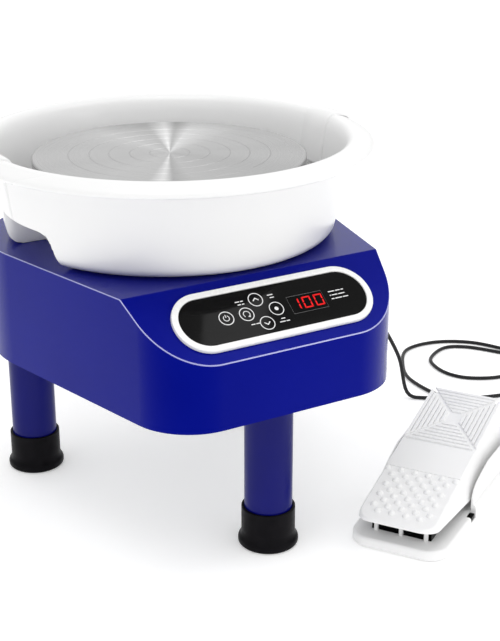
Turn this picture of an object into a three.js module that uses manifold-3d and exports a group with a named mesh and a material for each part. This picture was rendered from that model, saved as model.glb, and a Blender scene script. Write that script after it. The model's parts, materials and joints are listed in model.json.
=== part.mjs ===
// Tabletop pottery wheel: a three-legged sheet-metal housing with a direct-drive motor inside,
// an aluminium wheel head, a splash basin in two halves, and a foot pedal on a loose cord.
// Millimetres, +Z up. Heights are written from the floor; the whole group is lowered at the end
// so that the origin is the centre of the wheel head's top face. The control panel faces -Y.

import * as THREE from 'three';
import { mergeVertices } from 'three/addons/utils/BufferGeometryUtils.js';
import Module from 'manifold-3d';

const wasm = await Module();
wasm.setup();

// Driving dimensions.
const GAP = 0.3; // left between pieces that touch
const WHEEL_TOP = 354;
const WHEEL_R = 140;
const WHEEL_THICK = 9;

const HOUSING_TOP = 274.2;
const HOUSING_BOTTOM = 157.5;
const FRONT_Y = -238.8;
const BACK_Y = 149.6;
const FRONT_HALF = 125; // half-width where the side walls would meet the front wall
const BACK_HALF = 212.7; // half-width where they would meet the back wall
const FRONT_FILLET = 63.1;
const BACK_FILLET = 118.6;
const FLARE = Math.atan2(BACK_HALF - FRONT_HALF, BACK_Y - FRONT_Y);
const SHEET = 2;
const BEND_Y = -167.5; // where the top sheet turns down into the sloped panel
const FRONT_WALL_TOP = 222.8;
const PANEL_TILT = Math.atan2(HOUSING_TOP - FRONT_WALL_TOP, BEND_Y - FRONT_Y);

const LEG_R = 23.8;
const LEG_BORE_R = 20.8;
const LEG_PLACES = { front: [0, -194.4], rear_left: [-131.6, 83.7], rear_right: [131.6, 83.7] };
const FOOT_H = 41;
const FOOT_SLEEVE_R = 26.7;
const FOOT_LIP_R = 30;
const FOOT_SOLE = 6;

const BASIN_FLOOR = HOUSING_TOP + GAP;
const BASIN_WALL = 3;
const BASIN_SPLIT_Y = 0;
const COLLAR_R = 34; // inner radius of the basin's central collar
const SADDLE_CLEARANCE = 2.2;
const SADDLE_WALL = 3;

const SHAFT_R = 8.5;
const BEARING_R = 20;
const MOTOR_R = 64;
const MOTOR_BOTTOM = 178;
const FLANGE_BOTTOM = 264.2;
const FLANGE_TOP = HOUSING_TOP - SHEET - GAP;

const PANEL_LEFT = -105.5; // white bezel, along X
const PANEL_RIGHT = 107;
const PANEL_UPPER = -10.8; // distances from the bend, measured down the slope as negative
const PANEL_LOWER = -75.6;
const BEZEL_WIDTH = 6.6;

const GLAND_Z = 185;
const GLAND_Y = BACK_Y - BACK_FILLET; // level with the centre of the back fillet
const FILLET_CENTRE_X = FRONT_HALF + (GLAND_Y - FRONT_Y) * Math.tan(FLARE) - BACK_FILLET / Math.cos(FLARE);
const GLAND_X = FILLET_CENTRE_X + BACK_FILLET; // outer face of the right wall at GLAND_Y
const GLAND_LENGTH = 20;

const CORD_R = 2.3;

const PEDAL_HEADING = THREE.MathUtils.degToRad(33);
const PEDAL_PLACE = [74.1, -292.8];
const PEDAL_TOE_X = 18.5; // the base's toe and heel, along the pedal
const PEDAL_LENGTH = 248;
const PEDAL_TOE_HALF = 49;
const PEDAL_HEEL_HALF = 57;
const PEDAL_PAD_H = 2;
const PEDAL_BASE_TOP = 12;
const PEDAL_BASE_WALL = 2.5;
const TREADLE_TOE_X = 14.5;
const TREADLE_HEEL_X = 241;
const TREADLE_TOE_Z = 36.3;
const TREADLE_HEEL_Z = 84;
const TREADLE_HALF = 40;
const TREADLE_DRAFT = 0.14; // sideways flare of the skirts, per mm of height
const TREADLE_WALL = 2.6;
const PIVOT_X = 185;
const PIVOT_Z = 36;
const PEDAL_GLAND_Z = 18;
const PEDAL_GLAND_LENGTH = 14;
const PEDAL_TRAVEL = THREE.MathUtils.degToRad(3.5);

// Materials, by slot.
const finish = (color, roughness, metalness = 0) =>
  new THREE.MeshStandardMaterial({ color, roughness, metalness });
const BLUE_COAT = finish(0x14148c, 0.3, 0.1);
const WHITE_PLASTIC = finish(0xf2f2f0, 0.28);
const PANEL_GLASS = finish(0x0b0b0d, 0.12);
const RUBBER = finish(0x141416, 0.75);
const ALUMINIUM = finish(0xc9cacc, 0.32, 1);
const STEEL = finish(0x9b9da0, 0.35, 1);
const LAMINATION = finish(0x5b5d60, 0.5, 0.8);
const BOARD_GREEN = finish(0x1d5a34, 0.6);
const BLACK_PLASTIC = finish(0x1b1b1d, 0.5);
const DISPLAY_RED = finish(0x5a0c0c, 0.4);
const CORD_BLACK = finish(0x101012, 0.5);

const wheel = new THREE.Group();
wheel.name = 'pottery_wheel';
wheel.position.z = -WHEEL_TOP;

// Geometry helpers.

function orientOutward(geometry) {
  const position = geometry.getAttribute('position');
  const index = geometry.getIndex();
  const a = new THREE.Vector3();
  const b = new THREE.Vector3();
  const c = new THREE.Vector3();
  let volume = 0;
  for (let i = 0; i < index.count; i += 3) {
    a.fromBufferAttribute(position, index.getX(i));
    b.fromBufferAttribute(position, index.getX(i + 1));
    c.fromBufferAttribute(position, index.getX(i + 2));
    volume += a.dot(b.cross(c));
  }
  if (volume < 0) {
    for (let i = 0; i < index.count; i += 3) {
      const first = index.getX(i);
      index.setX(i, index.getX(i + 1));
      index.setX(i + 1, first);
    }
  }
  return geometry;
}

function clean(geometry) {
  geometry.deleteAttribute('normal');
  geometry.deleteAttribute('uv');
  return orientOutward(mergeVertices(geometry, 1e-4));
}

function solid(geometry) {
  const cleaned = clean(geometry);
  return new wasm.Manifold(new wasm.Mesh({
    numProp: 3,
    vertProperties: Float32Array.from(cleaned.getAttribute('position').array),
    triVerts: Uint32Array.from(cleaned.getIndex().array),
  }));
}

function geometryOf(manifold) {
  const mesh = manifold.getMesh();
  const geometry = new THREE.BufferGeometry();
  geometry.setAttribute('position', new THREE.BufferAttribute(mesh.vertProperties, 3));
  geometry.setIndex(new THREE.BufferAttribute(mesh.triVerts, 1));
  return geometry;
}

function joined(first, ...others) {
  return others.reduce((sum, other) => sum.add(other), first);
}

function cut(first, ...tools) {
  return tools.reduce((rest, tool) => rest.subtract(tool), first);
}

// Turned about Z; each profile point is [radius, height].
function turned(profile, segments = 20) {
  const points = profile.map(([radius, height]) => new THREE.Vector2(radius, height));
  return solid(new THREE.LatheGeometry(points, segments).rotateX(Math.PI / 2));
}

// A ring's profile is closed on itself.
function turnedRing(profile, segments = 20) {
  return turned([...profile, profile[0]], segments);
}

function shapeOf(points) {
  return new THREE.Shape(points.map(([x, y]) => new THREE.Vector2(x, y)));
}

// A flat outline raised from one height to another.
function plate(outline, bottom, top) {
  const options = { depth: top - bottom, bevelEnabled: false };
  return solid(new THREE.ExtrudeGeometry(shapeOf(outline), options).translate(0, 0, bottom));
}

function block([x0, y0, z0], [x1, y1, z1]) {
  const geometry = new THREE.BoxGeometry(x1 - x0, y1 - y0, z1 - z0);
  return solid(geometry.translate((x0 + x1) / 2, (y0 + y1) / 2, (z0 + z1) / 2));
}

// An upright rod at (x, y).
function rod(radius, bottom, top, [x, y] = [0, 0], segments = 12) {
  return turned([[0, bottom], [radius, bottom], [radius, top], [0, top]], segments).translate([x, y, 0]);
}

// A side view in (y, z), given a width along X.
function sideProfile(outline, x0, x1) {
  const options = { depth: x1 - x0, bevelEnabled: false };
  const geometry = new THREE.ExtrudeGeometry(shapeOf(outline), options);
  return solid(geometry.rotateY(Math.PI / 2).rotateX(Math.PI / 2).translate(x0, 0, 0));
}

// Corner list [x, y, radius] to an outline with round corners.
function roundedOutline(corners, steps = 6) {
  const outline = [];
  corners.forEach(([x, y, radius], i) => {
    const [px, py] = corners[(i + corners.length - 1) % corners.length];
    const [nx, ny] = corners[(i + 1) % corners.length];
    const corner = new THREE.Vector2(x, y);
    const back = new THREE.Vector2(px - x, py - y).normalize();
    const ahead = new THREE.Vector2(nx - x, ny - y).normalize();
    const half = Math.acos(back.dot(ahead)) / 2;
    const bisector = back.clone().add(ahead).normalize();
    const centre = corner.clone().addScaledVector(bisector, radius / Math.sin(half));
    const start = corner.clone().addScaledVector(back, radius / Math.tan(half)).sub(centre);
    const turn = Math.PI - 2 * half;
    const sign = Math.sign(ahead.cross(back));
    for (let step = 0; step <= steps; step += 1) {
      const angle = sign * turn * (step / steps);
      const cos = Math.cos(angle);
      const sin = Math.sin(angle);
      outline.push([centre.x + start.x * cos - start.y * sin, centre.y + start.x * sin + start.y * cos]);
    }
  });
  return outline;
}

// A rounded box outline between two corners.
function roundedBox(x0, y0, x1, y1, radius, steps = 6) {
  return roundedOutline([[x0, y0, radius], [x1, y0, radius], [x1, y1, radius], [x0, y1, radius]], steps);
}

// A closed solid through stacked rings that have the same number of points.
function lofted(rings) {
  const count = rings[0].length;
  const vertices = rings.flat(2);
  const faces = [];
  for (let level = 0; level < rings.length - 1; level += 1) {
    for (let i = 0; i < count; i += 1) {
      const next = (i + 1) % count;
      const low = level * count;
      const high = low + count;
      faces.push(low + i, low + next, high + next, low + i, high + next, high + i);
    }
  }
  const flat = rings[0].map(([x, y]) => new THREE.Vector2(x, y));
  const last = (rings.length - 1) * count;
  for (const [a, b, c] of THREE.ShapeUtils.triangulateShape(flat, [])) {
    faces.push(c, b, a, last + a, last + b, last + c);
  }
  const geometry = new THREE.BufferGeometry();
  geometry.setAttribute('position', new THREE.Float32BufferAttribute(vertices, 3));
  geometry.setIndex(faces);
  return solid(geometry);
}

function addPiece(name, manifold, material, parent = wheel) {
  const mesh = new THREE.Mesh(geometryOf(manifold), material);
  mesh.name = name;
  parent.add(mesh);
}

// Housing: one folded and welded steel sheet, open underneath.

function housingCorners(inset) {
  const widthAt = (y) => FRONT_HALF + (y - FRONT_Y) * Math.tan(FLARE) - inset / Math.cos(FLARE);
  const front = FRONT_Y + inset;
  const back = BACK_Y - inset;
  return [
    [-widthAt(front), front, FRONT_FILLET - inset],
    [widthAt(front), front, FRONT_FILLET - inset],
    [widthAt(back), back, BACK_FILLET - inset],
    [-widthAt(back), back, BACK_FILLET - inset],
  ];
}

function housingSolid(inset, bottom) {
  const top = HOUSING_TOP - inset;
  const beyond = 60;
  const bend = BEND_Y + inset * (1 / Math.cos(PANEL_TILT) - 1) / Math.tan(PANEL_TILT);
  const side = [
    [BACK_Y + beyond, bottom],
    [BACK_Y + beyond, top],
    [bend, top],
    [FRONT_Y - beyond, top - (bend - FRONT_Y + beyond) * Math.tan(PANEL_TILT)],
    [FRONT_Y - beyond, bottom],
  ];
  const width = BACK_HALF + beyond;
  const plan = plate(roundedOutline(housingCorners(inset), 8), bottom, top);
  return plan.intersect(sideProfile(side, -width, width));
}

function onPanel(manifold) {
  const tilt = THREE.MathUtils.radToDeg(PANEL_TILT);
  return manifold.rotate([tilt, 0, 0]).translate([0, BEND_Y, HOUSING_TOP]);
}

const MOTOR_STUD_PLACES = [45, 135, 225, 315].map((degrees) => {
  const angle = THREE.MathUtils.degToRad(degrees);
  return [74 * Math.cos(angle), 74 * Math.sin(angle)];
});
const BASE_SCREW_PLACES = [[-152, -70], [152, -70], [-60, 138], [60, 138]];
const NUT_BLOCK_H = 12;
const SIDE_WEB_REACH = 1.07; // how far out a side web ends, as a share of its screw's x
const INLET_X = [-74, -46]; // power inlet cut-out in the back wall
const INLET_Z = [186, 226];
const WINDOW = [[-92, -62, -6], [92, -26, 6]]; // display window in the sloped sheet

function housingShell() {
  const low = HOUSING_BOTTOM + 3;
  const high = low + NUT_BLOCK_H;
  const blocks = BASE_SCREW_PLACES.map(([x, y]) => block([x - 8, y - 8, low], [x + 8, y + 8, high]));
  // Each nut block reaches its wall through a short web.
  const webs = BASE_SCREW_PLACES.map(([x, y]) => {
    if (Math.abs(x) > 100) {
      const wall = x * SIDE_WEB_REACH;
      return block([Math.min(x, wall), y - 4, low], [Math.max(x, wall), y + 4, high]);
    }
    return block([x - 4, y, low], [x + 4, BACK_Y - 1, high]);
  });
  const studs = MOTOR_STUD_PLACES.map((place) => rod(2.5, 256, HOUSING_TOP - 1, place, 8));
  const shell = cut(
    housingSolid(0, HOUSING_BOTTOM),
    housingSolid(SHEET, HOUSING_BOTTOM - 5),
    rod(COLLAR_R - 2, HOUSING_TOP - 10, HOUSING_TOP + 10, [0, 0], 32),
    onPanel(block(...WINDOW)),
    block([INLET_X[0], BACK_Y - 10, INLET_Z[0]], [INLET_X[1], BACK_Y + 10, INLET_Z[1]]),
    rod(6.2, -20, 20).rotate([0, 90, 0]).translate([GLAND_X, GLAND_Y, GLAND_Z]),
  );
  const holes = BASE_SCREW_PLACES.map((place) => rod(2.4, HOUSING_BOTTOM, HOUSING_BOTTOM + 13, place, 8));
  return cut(joined(shell, ...blocks, ...webs, ...studs), ...holes);
}

addPiece('housing_shell', housingShell(), BLUE_COAT);

// Base plate with its cooling slots and holes, held by four screws.

const PLATE_BOTTOM = HOUSING_BOTTOM + GAP;
const PLATE_TOP = PLATE_BOTTOM + 2.2;
const STANDOFF_TOP = 162.5;
const BOARD_TOP = 164.7; // where the parts on the driver board stand

function basePlate() {
  const slots = [];
  for (let i = -3; i <= 3; i += 1) {
    slots.push(block([i * 12 - 2.5, -30, PLATE_BOTTOM - 1], [i * 12 + 2.5, 30, PLATE_TOP + 1]));
  }
  const legHoles = Object.values(LEG_PLACES).map((place) =>
    rod(8.6, PLATE_BOTTOM - 1, PLATE_TOP + 1, place));
  const screwHoles = BASE_SCREW_PLACES.map((place) => rod(2.4, PLATE_BOTTOM - 1, PLATE_TOP + 1, place, 8));
  const standoffs = DRIVER_STANDOFFS.map((place) => rod(3, PLATE_TOP - 0.5, STANDOFF_TOP, place, 8));
  const sheet = plate(roundedOutline(housingCorners(SHEET + GAP), 8), PLATE_BOTTOM, PLATE_TOP);
  return joined(cut(sheet, ...slots, ...legHoles, ...screwHoles), ...standoffs);
}

const DRIVER_STANDOFFS = [[-62, -148], [62, -148], [-62, -98], [62, -98]];
addPiece('base_plate', basePlate(), STEEL);
BASE_SCREW_PLACES.forEach((place, i) => {
  const head = rod(4.2, PLATE_BOTTOM - GAP - 2.4, PLATE_BOTTOM - GAP, place, 8);
  const shank = rod(2.1, PLATE_BOTTOM - 1, PLATE_TOP + 9, place, 8);
  addPiece(`base_plate_screw_${i + 1}`, joined(head, shank), STEEL);
});

// Legs: steel tubes with a threaded plug, flanged studs inside, and rubber feet.

for (const [place, [x, y]] of Object.entries(LEG_PLACES)) {
  const legTop = PLATE_BOTTOM - GAP;
  const plugBottom = legTop - 30;
  const legBottom = FOOT_SOLE + GAP;
  const leg = turnedRing([
    [8.6, plugBottom], [8.6, legTop], [LEG_R, legTop], [LEG_R, legBottom],
    [LEG_BORE_R, legBottom], [LEG_BORE_R, plugBottom],
  ]).translate([x, y, 0]);
  addPiece(`leg_${place}`, leg, BLUE_COAT);

  const stud = turned([
    [0, plugBottom + 4], [8.3, plugBottom + 4], [8.3, PLATE_TOP + GAP], [29, PLATE_TOP + GAP],
    [29, PLATE_TOP + 4], [12, PLATE_TOP + 4], [12, PLATE_TOP + 10], [0, PLATE_TOP + 10],
  ], 16).translate([x, y, 0]);
  addPiece(`leg_stud_${place}`, stud, STEEL);

  const footBore = LEG_R + GAP;
  const foot = turned([
    [0, 0], [28, 0], [FOOT_LIP_R, 2], [FOOT_LIP_R, 7], [FOOT_SLEEVE_R, 11], [FOOT_SLEEVE_R, FOOT_H],
    [footBore, FOOT_H], [footBore, FOOT_SOLE], [0, FOOT_SOLE],
  ]).translate([x, y, 0]);
  addPiece(`foot_${place}`, foot, RUBBER);
}

// Motor: flange, can, laminated stator, rotor, two ball bearings and the nuts that hold it.

const motorFlange = cut(
  turnedRing([
    [12, FLANGE_TOP], [84, FLANGE_TOP], [84, FLANGE_BOTTOM], [28, FLANGE_BOTTOM], [28, 255],
    [BEARING_R + GAP, 255], [BEARING_R + GAP, 268], [12, 268],
  ], 24),
  ...MOTOR_STUD_PLACES.map((place) => rod(2.9, 260, 275, place, 8)),
);
addPiece('motor_flange', motorFlange, ALUMINIUM);

addPiece('motor_can', turnedRing([
  [12, MOTOR_BOTTOM], [MOTOR_R, MOTOR_BOTTOM], [MOTOR_R, FLANGE_BOTTOM - GAP],
  [MOTOR_R - 3, FLANGE_BOTTOM - GAP], [MOTOR_R - 3, MOTOR_BOTTOM + 4], [24, MOTOR_BOTTOM + 4],
  [24, MOTOR_BOTTOM + 15], [BEARING_R + GAP, MOTOR_BOTTOM + 15], [BEARING_R + GAP, MOTOR_BOTTOM + 3],
  [12, MOTOR_BOTTOM + 3],
], 24), ALUMINIUM);

function statorOutline(teeth, rootR, tipR, innerR) {
  const outline = [];
  for (let i = 0; i < teeth; i += 1) {
    const centre = (i / teeth) * 2 * Math.PI;
    const pitch = (2 * Math.PI) / teeth;
    for (const [radius, turn] of [[rootR, -0.36], [tipR, -0.36], [tipR, -0.44], [innerR, -0.44],
      [innerR, 0.44], [tipR, 0.44], [tipR, 0.36], [rootR, 0.36]]) {
      const narrow = radius === rootR || Math.abs(turn) === 0.36 ? 0.5 : 1;
      const angle = centre + turn * pitch * narrow;
      outline.push([radius * Math.cos(angle), radius * Math.sin(angle)]);
    }
  }
  return outline;
}

const STATOR_Z = [204, 246];
const statorRing = rod(MOTOR_R - 3 - GAP, ...STATOR_Z, [0, 0], 24);
const statorBore = plate(statorOutline(12, 54, 42, 38.5), STATOR_Z[0] - 1, STATOR_Z[1] + 1);
addPiece('stator_core', cut(statorRing, statorBore), LAMINATION);

addPiece('rotor', turnedRing([
  [SHAFT_R + GAP, 200], [SHAFT_R + GAP, 250], [14, 250], [14, 246],
  [36, 246], [36, 204], [14, 204], [14, 200],
]), LAMINATION);

addPiece('spindle', rod(SHAFT_R, MOTOR_BOTTOM - 2, 338, [0, 0], 16), STEEL);

for (const [place, bottom] of [['upper', 256], ['lower', MOTOR_BOTTOM + 3 + GAP]]) {
  const bearing = turnedRing([
    [SHAFT_R + GAP, bottom], [BEARING_R, bottom], [BEARING_R, bottom + 11.4], [SHAFT_R + GAP, bottom + 11.4],
  ], 16);
  addPiece(`bearing_${place}`, bearing, STEEL);
}

MOTOR_STUD_PLACES.forEach((place, i) => {
  const nut = cut(rod(4.6, 259.6, 263.9, place, 6), rod(2.9, 255, 268, place, 8));
  addPiece(`motor_nut_${i + 1}`, nut, STEEL);
});

// Hub adaptor and wheel head, joined by three screws from below.

const HEAD_BOTTOM = WHEEL_TOP - WHEEL_THICK;
const HEAD_SCREW_PLACES = [90, 210, 330].map((degrees) => {
  const angle = THREE.MathUtils.degToRad(degrees);
  return [42 * Math.cos(angle), 42 * Math.sin(angle)];
});

const hub = cut(
  turned([
    [0, 338.3], [SHAFT_R + GAP, 338.3], [SHAFT_R + GAP, 279], [22, 279], [26, 283], [26, 338],
    [52, 338], [52, HEAD_BOTTOM - GAP], [0, HEAD_BOTTOM - GAP],
  ], 24),
  ...HEAD_SCREW_PLACES.map((place) => rod(2.9, 335, 350, place, 8)),
);
addPiece('hub_adaptor', hub, ALUMINIUM);

const wheelHead = cut(
  turned([
    [0, HEAD_BOTTOM], [WHEEL_R, HEAD_BOTTOM], [WHEEL_R, WHEEL_TOP - 1.6], [WHEEL_R - 1.6, WHEEL_TOP],
    [0, WHEEL_TOP],
  ], 60),
  ...HEAD_SCREW_PLACES.map((place) => rod(2.9, 340, 350, place, 8)),
);
addPiece('wheel_head', wheelHead, ALUMINIUM);

HEAD_SCREW_PLACES.forEach((place, i) => {
  const screw = joined(rod(4.5, 334.4, 337.7, place, 8), rod(2.5, 336, 349, place, 8));
  addPiece(`wheel_head_screw_${i + 1}`, screw, STEEL);
});

// Splash basin in two halves, with a collar round the hub and a recess under each joint.

const basinOuter = [
  [0, BASIN_FLOOR], [155, BASIN_FLOOR], [163, 277.2], [168.2, 282.4], [170.4, 289.5],
  [179, 350], [180.8, 357], [184.5, 361.6], [190, 364.3], [197, 364.6], [204.5, 363.2],
  [207, 364.4], [207.8, 367], [206, 370], [198.5, 373.6], [190.5, 375.4], [185.5, 374.8], [181.3, 371],
];
const basinInner = [
  [181.3, 371], [178.4, 364], [176, 350], [167.4, 290], [165.4, 284], [161, 279.8], [154, 277.8], [0, 277.8],
];
const COLLAR_TOP = 328;
const BASIN_SEGMENTS = 48;

// Each joint has a hand recess under it: a hollow in the lower wall, seen from the side in (y, z).
const RECESS_TOP = 309.5;
const RECESS_INNER_X = 128;
const RECESS_FRONT = -66;
const RECESS_BACK = 30;

function recessSolid(grow) {
  const front = RECESS_FRONT - grow;
  const top = RECESS_TOP + grow;
  const side = [
    [front, BASIN_FLOOR - 5], [front + 1, 284], [front + 5.5, top - 8], [front + 9.5, top - 3.5],
    [front + 16, top - 0.8], [front + 22, top],
    [RECESS_BACK + grow, top], [RECESS_BACK + grow, BASIN_FLOOR - 5],
  ];
  const left = sideProfile(side, -260, -RECESS_INNER_X + grow);
  const right = sideProfile(side, RECESS_INNER_X - grow, 260);
  return left.add(right);
}

function basinShell() {
  const outer = turned([...basinOuter, [0, 371]], BASIN_SEGMENTS);
  const inner = turned([[0, 390], [185.5, 390], [185.5, 374.9], ...basinInner], BASIN_SEGMENTS);
  const collar = rod(COLLAR_R + BASIN_WALL, BASIN_FLOOR, COLLAR_TOP, [0, 0], 24);
  const bore = rod(COLLAR_R, BASIN_FLOOR - 5, COLLAR_TOP + 5, [0, 0], 24);
  return { outer, inner, collar, bore };
}

const FAR = 400;
const frontSide = block([-FAR, -FAR, 0], [FAR, BASIN_SPLIT_Y - GAP / 2, FAR]);
const rearSide = block([-FAR, BASIN_SPLIT_Y + GAP / 2, 0], [FAR, FAR, FAR]);

function basinHalf(isFront) {
  const { outer, inner, collar, bore } = basinShell();
  const side = isFront ? frontSide : rearSide;
  const envelope = outer.subtract(recessSolid(0));
  const hollow = inner.subtract(recessSolid(BASIN_WALL));
  const shell = cut(joined(envelope.subtract(hollow), collar), bore);
  return shell.intersect(side);
}

// The rear half carries a saddle over each joint, straight along Y, that the front rim slides into.
function rimSection(grow) {
  return [
    [175.5 - grow, 352], [177.5 - grow, 364], [181.3 - grow, 373.4 + grow * 0.6], [186.5, 375.6 + grow],
    [192, 375.6 + grow], [199, 373.8 + grow], [207 + grow * 0.8, 369.6 + grow * 0.7],
    [208.2 + grow, 366], [207 + grow * 0.8, 362.5], [207, 361], [184, 352],
  ];
}

const SADDLE_FRONT = -20; // ends of each saddle, along Y
const SADDLE_BACK = 18;

function saddle(mirror) {
  const section = (grow, front) => {
    const points = rimSection(grow).map(([x, z]) => [mirror * x, z]);
    const options = { depth: SADDLE_BACK - front, bevelEnabled: false };
    const geometry = new THREE.ExtrudeGeometry(shapeOf(points), options);
    return solid(geometry.rotateX(Math.PI / 2).translate(0, SADDLE_BACK, 0));
  };
  const skin = section(SADDLE_CLEARANCE + SADDLE_WALL, SADDLE_FRONT)
    .subtract(section(SADDLE_CLEARANCE, SADDLE_FRONT - 1));
  // Behind the joint the saddle is solid down to the rear rim.
  const root = section(SADDLE_CLEARANCE + 0.5, BASIN_SPLIT_Y + 3)
    .subtract(section(-1.2, BASIN_SPLIT_Y + 2));
  return skin.add(root);
}

function rearHalf() {
  const half = basinHalf(false);
  return joined(half, saddle(1), saddle(-1));
}

addPiece('basin_front', basinHalf(true), WHITE_PLASTIC);
addPiece('basin_rear', rearHalf(), WHITE_PLASTIC);

// Control panel on the slope: bezel, glass, display and touch film, with the board behind.

const panelRadius = (PANEL_UPPER - PANEL_LOWER) / 2 - 0.5;
const bezelOutline = roundedBox(PANEL_LEFT, PANEL_LOWER, PANEL_RIGHT, PANEL_UPPER, panelRadius, 10);
const glassOutline = (inset) => roundedBox(
  PANEL_LEFT + inset, PANEL_LOWER + inset, PANEL_RIGHT - inset, PANEL_UPPER - inset, panelRadius - inset, 10,
);
addPiece('panel_bezel', onPanel(cut(
  plate(bezelOutline, GAP, 3.6),
  plate(glassOutline(BEZEL_WIDTH), -1, 5),
)), WHITE_PLASTIC);
addPiece('panel_glass', onPanel(plate(glassOutline(BEZEL_WIDTH + GAP), GAP, 2.9)), PANEL_GLASS);
addPiece('display_module', onPanel(block([13.5, -56, -8.4], [57, -33, 0])), DISPLAY_RED);
addPiece('touch_key_film', onPanel(block([-64, -61, -1.2], [11, -27, 0])), BLACK_PLASTIC);
addPiece('control_board', onPanel(block([-84, -59, -10.4], [86, -29, -8.8])), BOARD_GREEN);

// Driver electronics on the base plate.

addPiece('driver_board', block([-70, -155, STANDOFF_TOP + GAP], [70, -91, BOARD_TOP - GAP]), BOARD_GREEN);

function heatSinkOutline() {
  const outline = [[-58, -92], [58, -92]];
  const fins = 9;
  for (let i = fins - 1; i >= 0; i -= 1) {
    const left = -58 + i * 14;
    outline.push([left + 4, -78], [left, -78]);
    if (i > 0) {
      outline.push([left, -88], [left - 10, -88]);
    }
  }
  return outline;
}
addPiece('heat_sink', plate(heatSinkOutline(), BOARD_TOP, 206), ALUMINIUM);
addPiece('smoothing_capacitor', rod(12, BOARD_TOP, 204, [-44, -124]), BLACK_PLASTIC);
const choke = turnedRing([[6, BOARD_TOP], [15, BOARD_TOP], [15, 178], [6, 178]], 16);
addPiece('power_choke', choke.translate([38, -124, 0]), LAMINATION);

// Power inlet in the back wall with its fuse drawer. Its opening faces +Y.

function powerInlet() {
  const [x0, x1] = INLET_X;
  const [z0, z1] = INLET_Z;
  const body = block([x0 + GAP, BACK_Y - 28, z0 + GAP], [x1 - GAP, BACK_Y + 0.4, z1 - GAP]);
  const flange = block([x0 - 5, BACK_Y + GAP, z0 - 5], [x1 + 5, BACK_Y + 3, z1 + 5]);
  const socket = block([x0 + 3, BACK_Y - 16, z0 + 18], [x1 - 3, BACK_Y + 5, z1 - 3]);
  const drawerSlot = block([x0 + 4, BACK_Y - 20, z0 + 3], [x1 - 4, BACK_Y + 5, z0 + 14]);
  const middle = (x0 + x1) / 2;
  const blades = [[-7, 26], [7, 26], [0, 31]].map(([dx, dz]) =>
    block([middle + dx - 1, BACK_Y - 17, z0 + dz - 2], [middle + dx + 1, BACK_Y - 1, z0 + dz + 2]));
  return joined(cut(joined(body, flange), socket, drawerSlot), ...blades);
}
addPiece('power_inlet', powerInlet(), BLACK_PLASTIC);
addPiece('fuse_drawer', block(
  [INLET_X[0] + 4 + GAP, BACK_Y - 19, INLET_Z[0] + 3 + GAP],
  [INLET_X[1] - 4 - GAP, BACK_Y + 3.6, INLET_Z[0] + 14 - GAP],
), BLACK_PLASTIC);

// Cord gland in the right wall: body outside, nut inside.

const towardPlusX = (manifold) => manifold.rotate([0, 90, 0]).translate([GLAND_X, GLAND_Y, GLAND_Z]);
addPiece('cord_gland', towardPlusX(turned([
  [0, -10], [5.9, -10], [5.9, GAP], [9, GAP], [9, 5], [7.6, 6.5], [6.4, 10],
  [3.6, GLAND_LENGTH], [0, GLAND_LENGTH],
], 12)), BLACK_PLASTIC);
const glandNut = cut(rod(8.6, -8, -SHEET - 1.4, [0, 0], 6), rod(6.2, -9, 0));
addPiece('cord_gland_nut', towardPlusX(glandNut), BLACK_PLASTIC);

// Foot pedal. Local x runs from the toe to the heel, local y to the left.

const pedal = new THREE.Group();
pedal.position.set(PEDAL_PLACE[0], PEDAL_PLACE[1], 0);
pedal.rotation.z = PEDAL_HEADING;
wheel.add(pedal);

const SKIRT_TOE_Z = 33;
const SKIRT_SLOPE = 0.2;
const treadleTopAt = (x) =>
  TREADLE_TOE_Z + ((x - TREADLE_TOE_X) * (TREADLE_HEEL_Z - TREADLE_TOE_Z)) / (TREADLE_HEEL_X - TREADLE_TOE_X);
// Lower edge of the skirts: it rises towards the toe, and clears the base when pressed home.
const skirtAt = (x) => Math.max(
  PEDAL_BASE_TOP + 1 + Math.max(0, PIVOT_X - x) * Math.tan(PEDAL_TRAVEL),
  SKIRT_TOE_Z - (x - TREADLE_TOE_X) * SKIRT_SLOPE,
);
const baseHalfAt = (x) => PEDAL_TOE_HALF + ((PEDAL_HEEL_HALF - PEDAL_TOE_HALF) * x) / PEDAL_LENGTH;

function baseOutline(inset) {
  const toe = PEDAL_TOE_X + inset;
  const toeHalf = baseHalfAt(PEDAL_TOE_X) - inset;
  const heelHalf = PEDAL_HEEL_HALF - inset;
  const heel = PEDAL_LENGTH - inset;
  const toeRadius = 22 - inset;
  const heelRadius = 14 - inset;
  return roundedOutline([
    [toe, -toeHalf, toeRadius], [heel, -heelHalf, heelRadius],
    [heel, heelHalf, heelRadius], [toe, toeHalf, toeRadius],
  ], 5);
}

function levelRing(outline, z) {
  return outline.map(([x, y]) => [x, y, z]);
}

const CHEEK_FRONT = 114;
const CHEEK_TOP = 50;
const CHEEK_OUTSIDE = 3; // the cheeks' two faces, measured in from the base's outline
const CHEEK_INSIDE = 5.4;
// The cheeks' outline from the side: a straight front edge, then a top that rises to the heel.
const CHEEK_SIDE = [
  [CHEEK_FRONT, 0], [300, 0], [300, CHEEK_TOP], [163, CHEEK_TOP], [140, 45], [128, 41.5], [119, 36],
  [CHEEK_FRONT, 28],
];
const LEDGE_TOP = 20; // the ledge that runs round outside the cheeks
const NOTCH_LENGTH = 13.5;
const NOTCH_DEPTH = 6.5;
const NOTCH_Z = [PEDAL_BASE_TOP - 5, PEDAL_BASE_TOP + 4];
const TOE_RIBS_Y = [-26, 0, 26];
const TOE_RIB_X = [37, 58];
const TOE_RIB_HALF = 2;
const TOE_RIB_TOP = 23;
const BEYOND = 80; // far enough past the pedal for a cut right through it
const PEDAL_SPRING_X = 70;

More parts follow.
